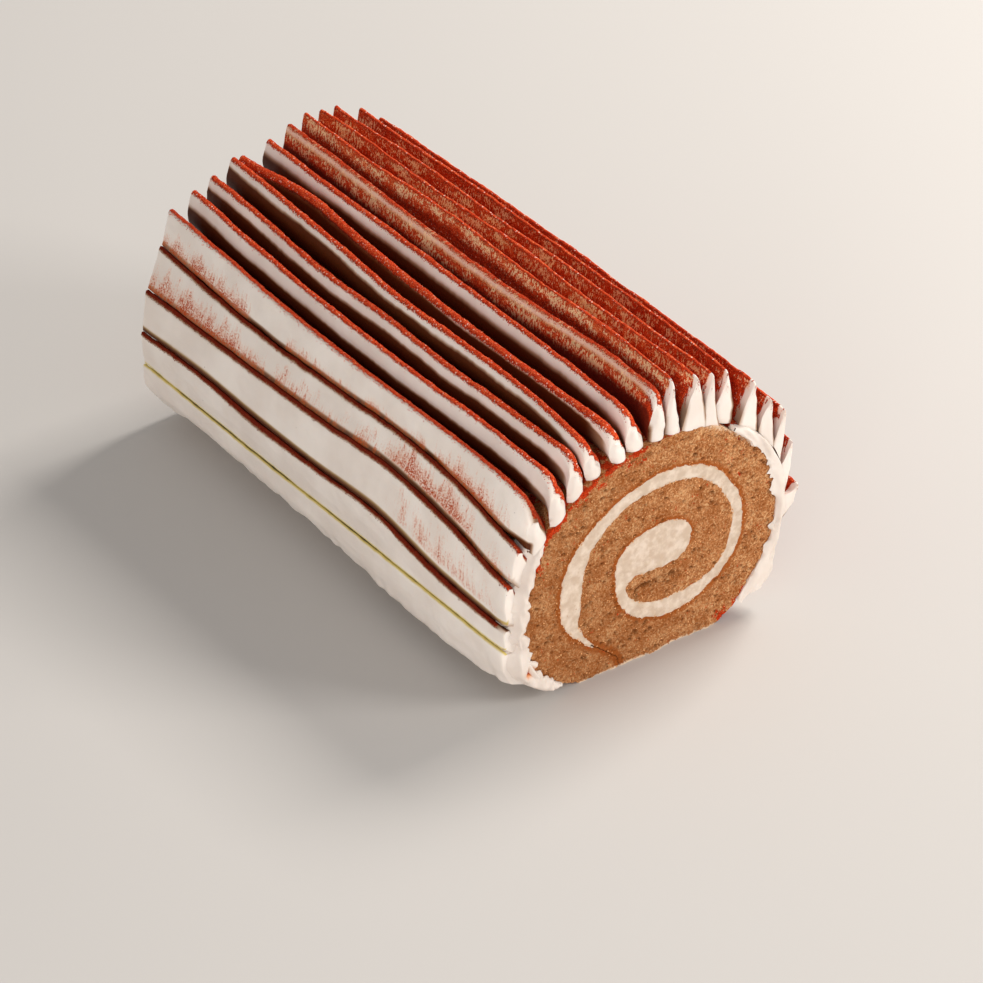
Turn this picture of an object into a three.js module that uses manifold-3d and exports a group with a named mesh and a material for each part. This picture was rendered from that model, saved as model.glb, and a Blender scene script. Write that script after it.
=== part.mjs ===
// A filled swiss roll cake: one long roll of light sponge spread with cream, cut straight at both
// ends, coated with cream on its two flanks and piped lengthways all round with thin petal-like
// ribs whose free edges turn up. Millimetres, +Z up, the front cut face towards -Y.
import * as THREE from "three";
import { mergeVertices } from "three/addons/utils/BufferGeometryUtils.js";
import Module from "manifold-3d";

const LENGTH = 180; // the roll, along Y
const GAP = 0.3; // between pieces that touch
const FRONT = -LENGTH / 2;

// The roll's outer edge in its cut face, as [x, z]: a slightly flattened egg that sits on a flat base.
const ROLL_BASE = [24, -25]; // the flat base runs between these, at z = 0
const ROLL_EDGE = [
  [-33, 4], [-41, 11], [-44.5, 19], [-46, 27], [-45, 38.5], [-43, 47.5],
  [-37.5, 56], [-30.5, 62], [-20.5, 68.3], [-9, 71.6], [2, 72.4], [13.5, 71.6],
  [21.5, 69], [27.5, 65], [33, 60], [38.5, 54], [42, 47], [44.2, 40],
  [44.5, 34], [43.8, 26.5], [41.5, 19.5], [37.5, 13], [31, 5],
];
const ROLL_CENTRE = [-0.9, 36];
const ROLL_POINTS = 84;

// The cream inside: it tapers out at the seam of the sheet, goes round the roll once and a quarter
// and ends as a pocket over the tongue of sponge that the rolling began with.
const CREAM_OUTSIDE = [
  [-20.5, 11], [-29, 18.8], [-32.2, 25], [-32.6, 32], [-31.4, 40], [-26, 48.3],
  [-19, 54.2], [-10, 58.7], [0, 61], [9, 60.5], [17, 57.8], [22.5, 54],
  [27.8, 47.2], [31, 41], [32, 34], [30.8, 26.3], [26.5, 20], [19, 14.7],
  [12, 12.1], [4, 11.7], [-3.5, 14.2], [-9, 18.2], [-11.9, 23.5], [-13.3, 29.7],
  [-13, 36.2], [-9, 40.8], [-2, 43.3], [3.5, 43.9], [9, 42.4], [12.9, 38.4],
  [13, 34.2],
];
const CREAM_INSIDE = [
  [10, 30.3], [4.5, 29], [-2, 29.3], [-7.5, 28.9], [-9.8, 26.4], [-6.8, 20.9],
  [-2, 18.3], [4, 17.2], [12.5, 17.2], [20, 19.3], [25.7, 24], [28, 30],
  [28.4, 37.4], [26.4, 43.3], [22, 49.2], [16.5, 53.8], [9, 56.4], [0, 56.8],
  [-9, 55], [-16, 51.3], [-22.3, 45.2], [-24.8, 38.8], [-25.6, 32], [-26, 25.3],
  [-26.4, 20],
];
const CREAM_POINTS = 168;
const SEAM = [[-10.6, -1], [-11.4, 3.2], [-14.5, 6.4], [-20.8, 11.3]]; // the sheet's end on the turn below
const SEAM_WIDTH = 0.4;
const CUT_PAST = 1; // how far the cutters run past both ends

// The cream coat on each flank, as [angle round the roll's centre in degrees, thickness].
const RIGHT_COAT = [
  [47, 1], [40, 2.6], [30, 3.2], [12, 3.2], [-4, 3], [-17, 2.6], [-26, 2.2], [-35, 2.2], [-43, 1],
];
const RIGHT_BLOB = { angle: -31, spread: 7.5, thick: 4.5, length: 8 }; // cream left by the knife at the front
const LEFT_COAT = [[160.6, 1.1], [200, 1.3], [214, 1.6], [222, 1.9], [227, 0.7]];
// The left coat is smeared up flush with the front face, a little thinner right at the edge.
const LEFT_LIP = { from: 160.6, to: 226, thick: 4.6, length: 2, atFace: 0.86, step: 0.05 };
const COAT_STEPS = 22; // round each coat
const BAND = 1.08; // outer radius of a coat's section as it is drawn round a circle
const COAT_MARGIN = 1; // degrees past the left coat's end over which a foot still stands as high as on it

// The outer envelope that the ribs' free edges follow: an ellipse about this centre.
const ENVELOPE = { x: -0.9, z: 41.4, halfWidth: 52.65, halfHeight: 47.7 };
const TIP_THICKNESS = 1.3;
const BEND = 0.55; // share of a rib's height over which it turns up
const BELLY = 0.65; // how much of its foot's width a rib keeps half way up
const CREASE = 1.2; // the dark gap between a lapped rib and the free edge below it
const HEEL = 0.3; // where on its section a lapped rib's heel lies
const FACE_BEND = 0.5; // share of its face over which a lapped rib turns up
const RIB_SECTION = [
  [-1, 0], [0, 0], [1, 0], [1, 0.3], [1, 0.62], [1, 0.9],
  [0.6, 1], [-0.6, 1], [-1, 0.9], [-1, 0.62], [-1, 0.3],
];
const END_STATIONS = [0, 0.9, 2.6, 5.2, 9]; // from a rib's front end, close together where it rounds off
const LONG_STEPS = 12; // then evenly to the back
const FOOT_FOLLOWS = 0.35; // share of the edge's wander that the foot makes too
const SEAT = 0.012; // extra lift of a wide foot, whose underside has only three points, per mm of width
const SWELL = 0.02; // how much further the straight ribs reach half way along

// Each rib, from the lower left over the top to the lower right. foot: angle of its foot round the
// roll's centre; wide: foot width; edge: angle of its free edge round the envelope's centre, every
// 30 mm from the front, or one angle for a straight one; reach: the edge's distance as a share of
// the envelope; up: direction of the free edge; back: how far its front end stands behind the
// face; round: length over which that end rises; stump: its height there as a share. A lapped rib
// is a shingle: its broad outer face starts at a heel just over the free edge of the rib below, or
// for the lowest at a turn and reach of its own.
const RIBS = [
  {
    foot: 213.5, wide: 13.2, reach: 1.055, up: 92, back: 2.3, round: 6, stump: 0.85,
    edge: [205, 204.5, 204, 204.5, 205, 204.5, 204],
    heel: { turn: 217.4, reach: [1.15, 1.182, 1.162, 1.136, 1.12, 1.12, 1.12] },
  },
  {
    foot: 194.5, wide: 8.4, reach: 0.988, up: 93, back: 2.3, round: 6, stump: 0.8, heel: "lapped",
    edge: [196.8, 194.5, 187.8, 189.5, 189.9, 188.8, 190.8],
  },
  {
    foot: 181.5, wide: 9, reach: 0.94, up: 82, back: 2.3, round: 8, stump: 0.75, heel: "lapped",
    edge: [178, 171.3, 168.3, 170.4, 171.6, 172.4, 173.1],
  },
  {
    foot: 166.6, wide: 9, reach: 0.925, up: 72, back: 2.3, round: 8, stump: 0.7, heel: "lapped",
    edge: [162.6, 157.2, 155.4, 156.7, 157.8, 157, 154.9],
  },
  {
    foot: 152.6, wide: 8, reach: 0.985, up: 78, back: 3, round: 10, stump: 0.45, heel: "lapped",
    edge: [147.3, 143.8, 143.9, 144.2, 143.6, 142.1, 140.9],
  },
  {
    foot: 138, wide: 5.8, reach: 0.93, up: 76, back: 2.8, round: 9, stump: 0.4,
    edge: [137.6, 134.3, 135, 135, 134.4, 133, 130.8],
  },
  {
    foot: 127.5, wide: 5.6, reach: 0.895, up: 76, back: 4.6, round: 9, stump: 0.4,
    edge: [124.8, 125.2, 125.9, 125.2, 125.7, 123.5, 122.4],
  },
  {
    foot: 116.5, wide: 4.8, reach: 0.905, up: 76, back: 5.2, round: 9, stump: 0.35,
    edge: [118.9, 116.4, 116.2, 116.8, 114.9, 113.2, 112.1],
  },
  {
    foot: 107, wide: 4, reach: 0.865, up: 80, back: 2, round: 9, stump: 0.4,
    edge: [108.4, 108.9, 109.2, 108.6, 107, 105, 108.9],
  },
  {
    foot: 95, wide: 5.2, reach: 0.88, up: 78, back: 3.6, round: 9, stump: 0.4,
    edge: [99.7, 97.1, 97.3, 96.9, 96.6, 96.8, 96.1],
  },
  {
    foot: 85.5, wide: 4.8, reach: 0.935, up: 82, back: 2.6, round: 7, stump: 0.6,
    edge: [87.2, 86.4, 88.6, 89.1, 88.4, 87.4, 87.2],
  },
  { foot: 77, wide: 4.2, reach: 0.995, up: 86, back: 2.2, round: 2.5, stump: 0.85, edge: 81.5 },
  { foot: 68.5, wide: 5, reach: 1.005, up: 88, back: 0.5, round: 1, stump: 1, edge: 74.6 },
  { foot: 60.5, wide: 4.2, reach: 1.02, up: 84, back: 0.6, round: 1, stump: 0.97, edge: 68 },
  { foot: 51.5, wide: 5, reach: 1.026, up: 88, back: 2.6, round: 2, stump: 0.8, edge: 58.5 },
  { foot: 38.5, wide: 5.4, reach: 1.02, up: 82, back: 1, round: 1, stump: 0.96, edge: 48.2 },
  { foot: 27.5, wide: 5, reach: 1.0, up: 82, back: 0.6, round: 1, stump: 1, edge: 37.4 },
  { foot: 17, wide: 5, reach: 1.02, up: 84, back: 0.4, round: 1, stump: 1, edge: 28 },
  { foot: 6, wide: 4.8, reach: 0.99, up: 84, back: 0.4, round: 1, stump: 1, edge: 13.8 },
  { foot: -6.5, wide: 5, reach: 1.025, up: 66, back: 0.4, round: 1, stump: 0.97, edge: -4.7 },
  { foot: -18.5, wide: 4.6, reach: 1.02, up: 48, back: 3, round: 5, stump: 0.5, edge: -18.5 },
  { foot: -29.5, wide: 4.6, reach: 1.045, up: 24, back: 10, round: 6, stump: 0.5, edge: -32 },
];
// How a straight rib's edge sways along the roll: by degrees, every so many mm, each rib by its own phase.
const WANDER = { turn: 0.7, wave: 76, phase: 1.9 };

const SPONGE = new THREE.MeshStandardMaterial({ color: 0xb0784a, roughness: 0.95, metalness: 0 });
const FILLING = new THREE.MeshStandardMaterial({ color: 0xe0c6a8, roughness: 0.6, metalness: 0 });
const COAT = new THREE.MeshStandardMaterial({ color: 0xe8dcd2, roughness: 0.45, metalness: 0 });
const RIBBON = new THREE.MeshStandardMaterial({ color: 0xe6dbd0, roughness: 0.45, metalness: 0 });

const { PI, cos, sin, sqrt, hypot, atan2, exp } = Math;
const radians = THREE.MathUtils.degToRad;
const degrees = THREE.MathUtils.radToDeg;
const clamp = THREE.MathUtils.clamp;

// Points [x, z] evenly spaced on a smooth curve through the given ones.
function smooth(points, closed, count) {
  const through = points.map(([x, z]) => new THREE.Vector3(x, z, 0));
  const curve = new THREE.CatmullRomCurve3(through, closed, "centripetal");
  const spaced = curve.getSpacedPoints(count).map((p) => [p.x, p.y]);
  return closed ? spaced.slice(0, -1) : spaced;
}

// The value at t in a list of [t, value] pairs in rising or falling order, eased between them.
function eased(pairs, t) {
  const rising = pairs[0][0] < pairs.at(-1)[0];
  const sorted = rising ? pairs : [...pairs].reverse();
  if (t <= sorted[0][0]) return sorted[0][1];
  const i = sorted.findIndex(([at]) => t <= at);
  if (i < 0) return sorted.at(-1)[1];
  const [a, va] = sorted[i - 1];
  const [b, vb] = sorted[i];
  return va + (vb - va) * THREE.MathUtils.smoothstep(t, a, b);
}

const rollEdge = [
  [ROLL_BASE[1], 0],
  ...smooth([[ROLL_BASE[1], 0], ...ROLL_EDGE, [ROLL_BASE[0], 0]], false, ROLL_POINTS).slice(1, -1),
  [ROLL_BASE[0], 0],
];

// The roll's edge, finely, from its lower left corner clockwise: each point's angle round the roll's
// centre and its outward direction, taken over a few neighbours. Angles run from the lower right up.
const EDGE_POINTS = 600;
const NEIGHBOURS = 4;
const LOWEST_ANGLE = -60;
const edgeCurve = smooth([[ROLL_BASE[1], 0], ...ROLL_EDGE, [ROLL_BASE[0], 0]], false, EDGE_POINTS);
const fineEdge = edgeCurve.map(([x, z], i, all) => {
  const [xa, za] = all[Math.max(i - NEIGHBOURS, 0)];
  const [xb, zb] = all[Math.min(i + NEIGHBOURS, all.length - 1)];
  const run = hypot(xb - xa, zb - za);
  const turn = degrees(atan2(z - ROLL_CENTRE[1], x - ROLL_CENTRE[0]));
  const angle = turn < LOWEST_ANGLE ? turn + 360 : turn;
  return { angle, x, z, out: [-(zb - za) / run, (xb - xa) / run] };
});

// The point of the edge at an angle, lifted off the surface, and its outward direction.
function edgeAt(angle, lift) {
  const i = fineEdge.findIndex((p) => p.angle <= angle);
  const [a, b] = [fineEdge[i - 1], fineEdge[i]];
  const t = (a.angle - angle) / (a.angle - b.angle);
  const mix = (p, q) => p + (q - p) * t;
  const out = [mix(a.out[0], b.out[0]), mix(a.out[1], b.out[1])];
  return { at: [mix(a.x, b.x) + out[0] * lift, mix(a.z, b.z) + out[1] * lift], out };
}

// A closed outline drawn in by the given distance.
function drawnIn(outline, distance) {
  const area = outline.reduce((sum, [x, z], i) => {
    const [xn, zn] = outline[(i + 1) % outline.length];
    return sum + x * zn - xn * z;
  }, 0);
  const side = area > 0 ? distance : -distance;
  return outline.map(([x, z], i) => {
    const [xa, za] = outline.at(i - 1);
    const [xb, zb] = outline[(i + 1) % outline.length];
    const run = hypot(xb - xa, zb - za);
    return [x - (side * (zb - za)) / run, z + (side * (xb - xa)) / run];
  });
}

// An outline [x, z] made solid along Y, from start to end.
function alongRoll(outline, start = FRONT, end = FRONT + LENGTH) {
  const shape = new THREE.Shape(outline.map(([x, z]) => new THREE.Vector2(x, z)));
  const geometry = new THREE.ExtrudeGeometry(shape, { depth: end - start, bevelEnabled: false });
  return geometry.rotateX(PI / 2).translate(0, end, 0);
}

// A section drawn in a unit frame, pushed along Y through the stations and shaped there:
// place(u, v, y) gives [x, z].
function swept(section, stations, place) {
  const shape = new THREE.Shape(section.map(([u, v]) => new THREE.Vector2(u, v)));
  const steps = stations.length - 1;
  const geometry = new THREE.ExtrudeGeometry(shape, { depth: steps, steps, bevelEnabled: false });
  const points = geometry.getAttribute("position");
  for (let i = 0; i < points.count; i++) {
    const y = stations[steps - Math.round(points.getZ(i))];
    const [x, z] = place(points.getX(i), points.getY(i), y);
    points.setXYZ(i, x, y, z);
  }
  return geometry;
}

const wasm = await Module();
wasm.setup();

// A closed geometry as a manifold-3d solid, and back.
const SAME_POINT = 1e-4;
function solid(geometry) {
  const bare = geometry.clone();
  bare.deleteAttribute("normal");
  bare.deleteAttribute("uv");
  const merged = mergeVertices(bare, SAME_POINT);
  return new wasm.Manifold(
    new wasm.Mesh({
      numProp: 3,
      vertProperties: new Float32Array(merged.attributes.position.array),
      triVerts: new Uint32Array(merged.index.array),
    }),
  );
}
function surface(manifold) {
  const mesh = manifold.getMesh();
  const geometry = new THREE.BufferGeometry()
    .setAttribute("position", new THREE.BufferAttribute(mesh.vertProperties, 3))
    .setIndex(new THREE.BufferAttribute(mesh.triVerts, 1));
  geometry.computeVertexNormals();
  return geometry;
}

// The sponge: the whole roll less the bed of the cream and the seam where the sheet ends.
const creamSection = smooth([...CREAM_OUTSIDE, ...CREAM_INSIDE], true, CREAM_POINTS);
function makeSponge() {
  const half = SEAM_WIDTH / 2;
  const seam = [
    ...SEAM.map(([x, z]) => [x + half, z + half]),
    ...[...SEAM].reverse().map(([x, z]) => [x - half, z - half]),
  ];
  const cut = (outline) => solid(alongRoll(outline, FRONT - CUT_PAST, FRONT + LENGTH + CUT_PAST));
  const beds = [creamSection, seam].map(cut);
  return surface(beds.reduce((rest, bed) => rest.subtract(bed), solid(alongRoll(rollEdge))));
}

function makeFilling() {
  return alongRoll(drawnIn(creamSection, GAP));
}

// How thick the cream coat is at an angle round the roll and a distance behind the front face.
function rightCoat(angle, behind) {
  const { angle: middle, spread, thick, length } = RIGHT_BLOB;
  const blob = thick * exp(-(((angle - middle) / spread) ** 2)) * exp(-((behind / length) ** 2));
  return eased(RIGHT_COAT, angle) + blob;
}
function leftCoat(angle) {
  return eased(LEFT_COAT, angle);
}
function leftLip(angle, behind) {
  const { from, to, thick, length, atFace } = LEFT_LIP;
  if (behind > length) return 0;
  const along = (angle - from) / (to - from);
  if (along <= 0 || along >= 1) return 0;
  const grown = atFace + (1 - atFace) * sin((PI / 2) * (behind / length));
  return thick * sqrt(sqrt(sin(PI * along))) * grown;
}

// A coat that bends round the roll's edge from one angle up to another. Its section is drawn as a
// band on a circle, so that it is cut into triangles as the bent coat is.
function makeCoat(from, to, stations, thickness) {
  const arc = Array.from({ length: COAT_STEPS + 1 }, (_, i) => radians(from + ((to - from) * i) / COAT_STEPS));
  const onCircle = (radius) => (turn) => [radius * cos(turn), radius * sin(turn)];
  const section = [...arc.map(onCircle(BAND)), ...arc.map(onCircle(1)).reverse()];
  return swept(section, stations, (u, v, y) => {
    const turn = degrees(atan2(v, u));
    const angle = turn < LOWEST_ANGLE ? turn + 360 : turn;
    const lift = hypot(u, v) > (1 + BAND) / 2 ? GAP + thickness(angle, y - FRONT) : GAP;
    return edgeAt(angle, lift).at;
  });
}

// A value that changes along the roll, from a list spread evenly from the front face to the back.
function alongLength(values, behind) {
  const last = values.length - 1;
  const t = clamp((behind / LENGTH) * last, 0, last);
  const i = Math.min(Math.floor(t), last - 1);
  const at = (k) => values[clamp(k, 0, last)];
  const [a, b, c, d] = [at(i - 1), at(i), at(i + 1), at(i + 2)];
  const f = t - i;
  return 0.5 * (2 * b + (c - a) * f + (2 * a - 5 * b + 4 * c - d) * f * f + (3 * b - a - 3 * c + d) * f ** 3);
}

// One piped rib. Its section is drawn as (across, up): up from its foot on what carries it to its
// free edge, and across from its left side to its right, each side a curve that turns up.
function edgeAngle(rib, index, behind) {
  if (Array.isArray(rib.edge)) return alongLength(rib.edge, behind);
  return rib.edge + WANDER.turn * sin((2 * PI * behind) / WANDER.wave + index * WANDER.phase);
}
function onEnvelope(angle, reach) {
  return [
    ENVELOPE.x + reach * ENVELOPE.halfWidth * cos(radians(angle)),
    ENVELOPE.z + reach * ENVELOPE.halfHeight * sin(radians(angle)),
  ];
}
function freeEdge(rib, index, behind) {
  const swell = Array.isArray(rib.edge) ? 0 : SWELL * sin((PI * behind) / LENGTH);
  return onEnvelope(edgeAngle(rib, index, behind), rib.reach + swell);
}
function moved([x, z], direction, distance) {
  return [x + distance * cos(radians(direction)), z + distance * sin(radians(direction))];
}
function between(a, b, share) {
  return [a[0] + (b[0] - a[0]) * share, a[1] + (b[1] - a[1]) * share];
}
function carriedOn(angle, behind) {
  if (angle > LEFT_COAT[0][0] - COAT_MARGIN) return GAP + leftCoat(angle) + GAP;
  if (angle < RIGHT_COAT[0][0]) return GAP + rightCoat(angle, behind) + GAP;
  return GAP;
}
// Where a lapped rib's heel lies: at a place of its own, or just over the free edge of the rib below.
function lappedOver(rib, index, behind) {
  if (rib.heel.turn) return onEnvelope(rib.heel.turn, alongLength(rib.heel.reach, behind));
  const below = RIBS[index - 1];
  return moved(freeEdge(below, index - 1, behind), below.up, CREASE);
}
function ribPoint(rib, index, across, up, y) {
  const behind = y - FRONT;
  const mean = Array.isArray(rib.edge) ? rib.edge.reduce((a, b) => a + b) / rib.edge.length : rib.edge;
  const middle = rib.foot + FOOT_FOLLOWS * (edgeAngle(rib, index, behind) - mean);
  const { at } = edgeAt(middle, 0);
  const radius = hypot(at[0] - ROLL_CENTRE[0], at[1] - ROLL_CENTRE[1]);
  const onFoot = (side) => {
    const angle = middle - degrees((side * rib.wide) / 2 / radius);
    return edgeAt(angle, carriedOn(angle, behind) + SEAT * rib.wide).at;
  };
  if (up === 0) return onFoot(across);
  const [left, foot, right] = [-1, 0, 1].map(onFoot);
  const risen = clamp(1 - (behind - rib.back) / rib.round, 0, 1);
  const rise = rib.stump + (1 - rib.stump) * sqrt(1 - risen ** 2);
  const tip = between(foot, freeEdge(rib, index, behind), rise);
  const turn = moved(tip, rib.up, -BEND * hypot(tip[0] - foot[0], tip[1] - foot[1]));
  const beside = (corner) => [0, 1].map((k) => turn[k] + BELLY * (corner[k] - foot[k]));
  const leftTip = moved(tip, rib.up + 90, TIP_THICKNESS / 2);
  const rightTip = moved(tip, rib.up - 90, TIP_THICKNESS / 2);
  const curve = (from, by, to) => (t) =>
    [0, 1].map((k) => (1 - t) ** 3 * from[k] + 3 * t * (1 - t) * by[k] + t ** 3 * to[k]);
  let leftSide = curve(left, beside(left), leftTip);
  let rightSide = curve(right, beside(right), rightTip);
  if (rib.heel) {
    const heel = between(foot, lappedOver(rib, index, behind), rise);
    const long = hypot(leftTip[0] - heel[0], leftTip[1] - heel[1]);
    const face = curve(heel, moved(leftTip, rib.up, -FACE_BEND * long), leftTip);
    leftSide = (t) => (t < HEEL ? between(left, heel, t / HEEL) : face((t - HEEL) / (1 - HEEL)));
    rightSide = (t) => between(right, rightTip, t);
  }
  return between(leftSide(up), rightSide(up), (across + 1) / 2);
}
function makeRib(rib, index) {
  const nearFace = END_STATIONS.map((d) => FRONT + rib.back + d);
  const rest = LENGTH / 2 - nearFace.at(-1);
  const along = Array.from({ length: LONG_STEPS }, (_, i) => nearFace.at(-1) + (rest * (i + 1)) / LONG_STEPS);
  return swept(RIB_SECTION, [...nearFace, ...along], (across, up, y) => ribPoint(rib, index, across, up, y));
}

const cake = new THREE.Group();
function add(name, geometry, material) {
  const mesh = new THREE.Mesh(geometry, material);
  mesh.name = name;
  cake.add(mesh);
}

add("sponge", makeSponge(), SPONGE);
add("filling", makeFilling(), FILLING);

const blobStations = [0, 1.5, 4, 8, 14, 22, LENGTH].map((d) => FRONT + d);
const lipEnd = LEFT_LIP.length + LEFT_LIP.step;
const lipStations = [0, LEFT_LIP.length / 2, LEFT_LIP.length, lipEnd, LENGTH].map((d) => FRONT + d);
const leftThickness = (angle, behind) => leftCoat(angle) + leftLip(angle, behind);
add("coat_right", makeCoat(RIGHT_COAT.at(-1)[0], RIGHT_COAT[0][0], blobStations, rightCoat), COAT);
add("coat_left", makeCoat(LEFT_COAT[0][0], LEFT_COAT.at(-1)[0], lipStations, leftThickness), COAT);

RIBS.forEach((rib, i) => add(`piped_rib_${String(i + 1).padStart(2, "0")}`, makeRib(rib, i), RIBBON));

// The origin is under the middle of the whole cake, on the plane that it rests on.
const bounds = new THREE.Box3().setFromObject(cake);
const middle = bounds.getCenter(new THREE.Vector3());
cake.position.set(-middle.x, -middle.y, -bounds.min.z);

export default cake;
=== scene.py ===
# A filled swiss roll cake on a pale floor: sponge rolled round cream, coated on its flanks, piped
# lengthways with thin upturned cream ribs and dusted with cocoa. Shapes are worked out in
# millimetres, with the front cut face at y = -90, and go into the meshes in metres.
import math

import bpy
import numpy as np
from mathutils import Matrix, Vector
from mathutils.geometry import delaunay_2d_cdt


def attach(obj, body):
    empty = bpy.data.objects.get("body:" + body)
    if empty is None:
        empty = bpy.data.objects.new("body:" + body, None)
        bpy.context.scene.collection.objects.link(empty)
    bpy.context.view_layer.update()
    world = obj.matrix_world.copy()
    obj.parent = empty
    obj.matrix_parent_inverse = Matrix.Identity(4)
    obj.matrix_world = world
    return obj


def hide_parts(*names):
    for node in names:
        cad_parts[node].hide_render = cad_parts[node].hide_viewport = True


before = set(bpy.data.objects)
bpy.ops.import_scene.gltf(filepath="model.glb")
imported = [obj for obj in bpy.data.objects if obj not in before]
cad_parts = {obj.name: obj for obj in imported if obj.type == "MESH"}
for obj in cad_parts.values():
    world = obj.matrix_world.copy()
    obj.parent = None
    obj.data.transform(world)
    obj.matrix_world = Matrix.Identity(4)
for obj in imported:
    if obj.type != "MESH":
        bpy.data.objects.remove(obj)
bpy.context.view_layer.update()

scene = bpy.context.scene

# ---------------------------------------------------------------- the studio
# A plain pale floor, a large soft light high behind the cake on its right, a broad soft light
# from the camera's left for the cream flank, and an even pale surround. The camera looks down
# along the roll from in front of its left flank.
CAMERA_AT = Vector((-0.7424, -0.9784, 0.8497))
CAMERA_LOOKS = Vector((0.50260505, 0.65292463, -0.5666371))
CAMERA_ROLL = math.radians(1.29)
CAMERA_LENS = 184.72
CAKE_MIDDLE = Vector((0, 0, 0.04))

level = CAMERA_LOOKS.cross(Vector((0, 0, 1))).normalized()
upward = level.cross(CAMERA_LOOKS)
camera_right = level * math.cos(CAMERA_ROLL) + upward * math.sin(CAMERA_ROLL)
camera_up = upward * math.cos(CAMERA_ROLL) - level * math.sin(CAMERA_ROLL)
camera = bpy.data.objects.new("camera", bpy.data.cameras.new("camera"))
camera.data.lens = CAMERA_LENS
camera.data.sensor_width = 36
camera.data.clip_end = 20
axes = Matrix((camera_right, camera_up, -CAMERA_LOOKS)).transposed().to_4x4()
camera.matrix_world = Matrix.Translation(CAMERA_AT) @ axes
scene.collection.objects.link(camera)
scene.camera = camera


def soft_light(name, at, size, watts, colour):
    """A square soft light at a place, turned to the middle of the cake."""
    lamp = bpy.data.objects.new(name, bpy.data.lights.new(name, "AREA"))
    lamp.data.size = size
    lamp.data.energy = watts
    lamp.data.color = colour
    lamp.visible_camera = False
    towards = CAKE_MIDDLE - Vector(at)
    lamp.matrix_world = Matrix.Translation(at) @ towards.to_track_quat("-Z", "Y").to_matrix().to_4x4()
    scene.collection.objects.link(lamp)


soft_light("key_light", (0.78, 0.12, 0.85), 0.4, 10.4, (1.0, 0.955, 0.9))
soft_light("face_light", (0.75, -0.85, 0.5), 0.4, 7.2, (1.0, 0.965, 0.925))
soft_light("flank_light", (-0.6, -0.6, 0.16), 0.35, 2.9, (1.0, 0.96, 0.925))

SURROUND_COLOUR = (1.0, 0.985, 0.97, 1)
SURROUND_STRENGTH = 0.42
world = bpy.data.worlds.new("surround")
world.use_nodes = True
surround = world.node_tree.nodes["Background"]
surround.inputs["Color"].default_value = SURROUND_COLOUR
surround.inputs["Strength"].default_value = SURROUND_STRENGTH
scene.world = world
scene.view_settings.view_transform = "Standard"

FLOOR_SIZE = 6  # from its middle to its edge
FLOOR_COLOUR = (0.6, 0.575, 0.55, 1)
FLOOR_ROUGHNESS = 0.8
floor_mesh = bpy.data.meshes.new("floor")
corners = [(x * FLOOR_SIZE, y * FLOOR_SIZE, 0) for x, y in ((-1, -1), (1, -1), (1, 1), (-1, 1))]
floor_mesh.from_pydata(corners, [], [(0, 1, 2, 3)])
floor = bpy.data.objects.new("floor", floor_mesh)
scene.collection.objects.link(floor)
floor_finish = bpy.data.materials.new("floor_finish")
floor_finish.use_nodes = True
floor_shader = floor_finish.node_tree.nodes["Principled BSDF"]
floor_shader.inputs["Base Color"].default_value = FLOOR_COLOUR
floor_shader.inputs["Roughness"].default_value = FLOOR_ROUGHNESS
floor_mesh.materials.append(floor_finish)


# ---------------------------------------------------------------- the sponge
# One sheet of light brown sponge, baked thin, spread with cream and rolled up from its tongue. It
# is cut through at both ends, so the faces show an open fine crumb with small holes, and the
# darker baked skin as a line along the cream. The roll sits flat on its base.
MM = 0.001
LENGTH = 180
FRONT = -LENGTH / 2
MIDDLE_SHIFT = -0.6558  # moves the roll so that the whole cake is centred over the origin
ROLL_BASE = (24, -25)
ROLL_EDGE = [
    (-33, 4), (-41, 11), (-44.5, 19), (-46, 27), (-45, 38.5), (-43, 47.5),
    (-37.5, 56), (-30.5, 62), (-20.5, 68.3), (-9, 71.6), (2, 72.4), (13.5, 71.6),
    (21.5, 69), (27.5, 65), (33, 60), (38.5, 54), (42, 47), (44.2, 40),
    (44.5, 34), (43.8, 26.5), (41.5, 19.5), (37.5, 13), (31, 5),
]
ROLL_CENTRE = np.array((-0.9, 36.0))
LOWEST_ANGLE = -60
CREAM_OUTSIDE = [
    (-20.5, 11), (-29, 18.8), (-32.2, 25), (-32.6, 32), (-31.4, 40), (-26, 48.3),
    (-19, 54.2), (-10, 58.7), (0, 61), (9, 60.5), (17, 57.8), (22.5, 54),
    (27.8, 47.2), (31, 41), (32, 34), (30.8, 26.3), (26.5, 20), (19, 14.7),
    (12, 12.1), (4, 11.7), (-3.5, 14.2), (-9, 18.2), (-11.9, 23.5), (-13.3, 29.7),
    (-13, 36.2), (-9, 40.8), (-2, 43.3), (3.5, 43.9), (9, 42.4), (12.9, 38.4),
    (13, 34.2),
]
CREAM_INSIDE = [
    (10, 30.3), (4.5, 29), (-2, 29.3), (-7.5, 28.9), (-9.8, 26.4), (-6.8, 20.9),
    (-2, 18.3), (4, 17.2), (12.5, 17.2), (20, 19.3), (25.7, 24), (28, 30),
    (28.4, 37.4), (26.4, 43.3), (22, 49.2), (16.5, 53.8), (9, 56.4), (0, 56.8),
    (-9, 55), (-16, 51.3), (-22.3, 45.2), (-24.8, 38.8), (-25.6, 32), (-26, 25.3),
    (-26.4, 20),
]
SEAM = [(-10.6, 0), (-11.4, 3.2), (-14.5, 6.4), (-20.8, 11.3)]
SEAM_HALF = 0.07
SPONGE_SPACING = 0.42  # between points on a cut face
SPONGE_STATIONS = [0, 0.8, 3, 12, 45, 90, 135, 168, 177, 179.2]
TONGUE_CRACK = [(-5.6, 20.4), (-6.6, 23), (-5.4, 25.2), (-1, 24.9), (4, 25.3), (8.5, 24.6)]
SKIN_WIDTH = 2.3
PITS = 2600  # small holes in the crumb on each cut face
SMALLEST_PIT = 0.24
LARGER_PITS = 0.5  # how much larger the largest pit is
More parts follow.
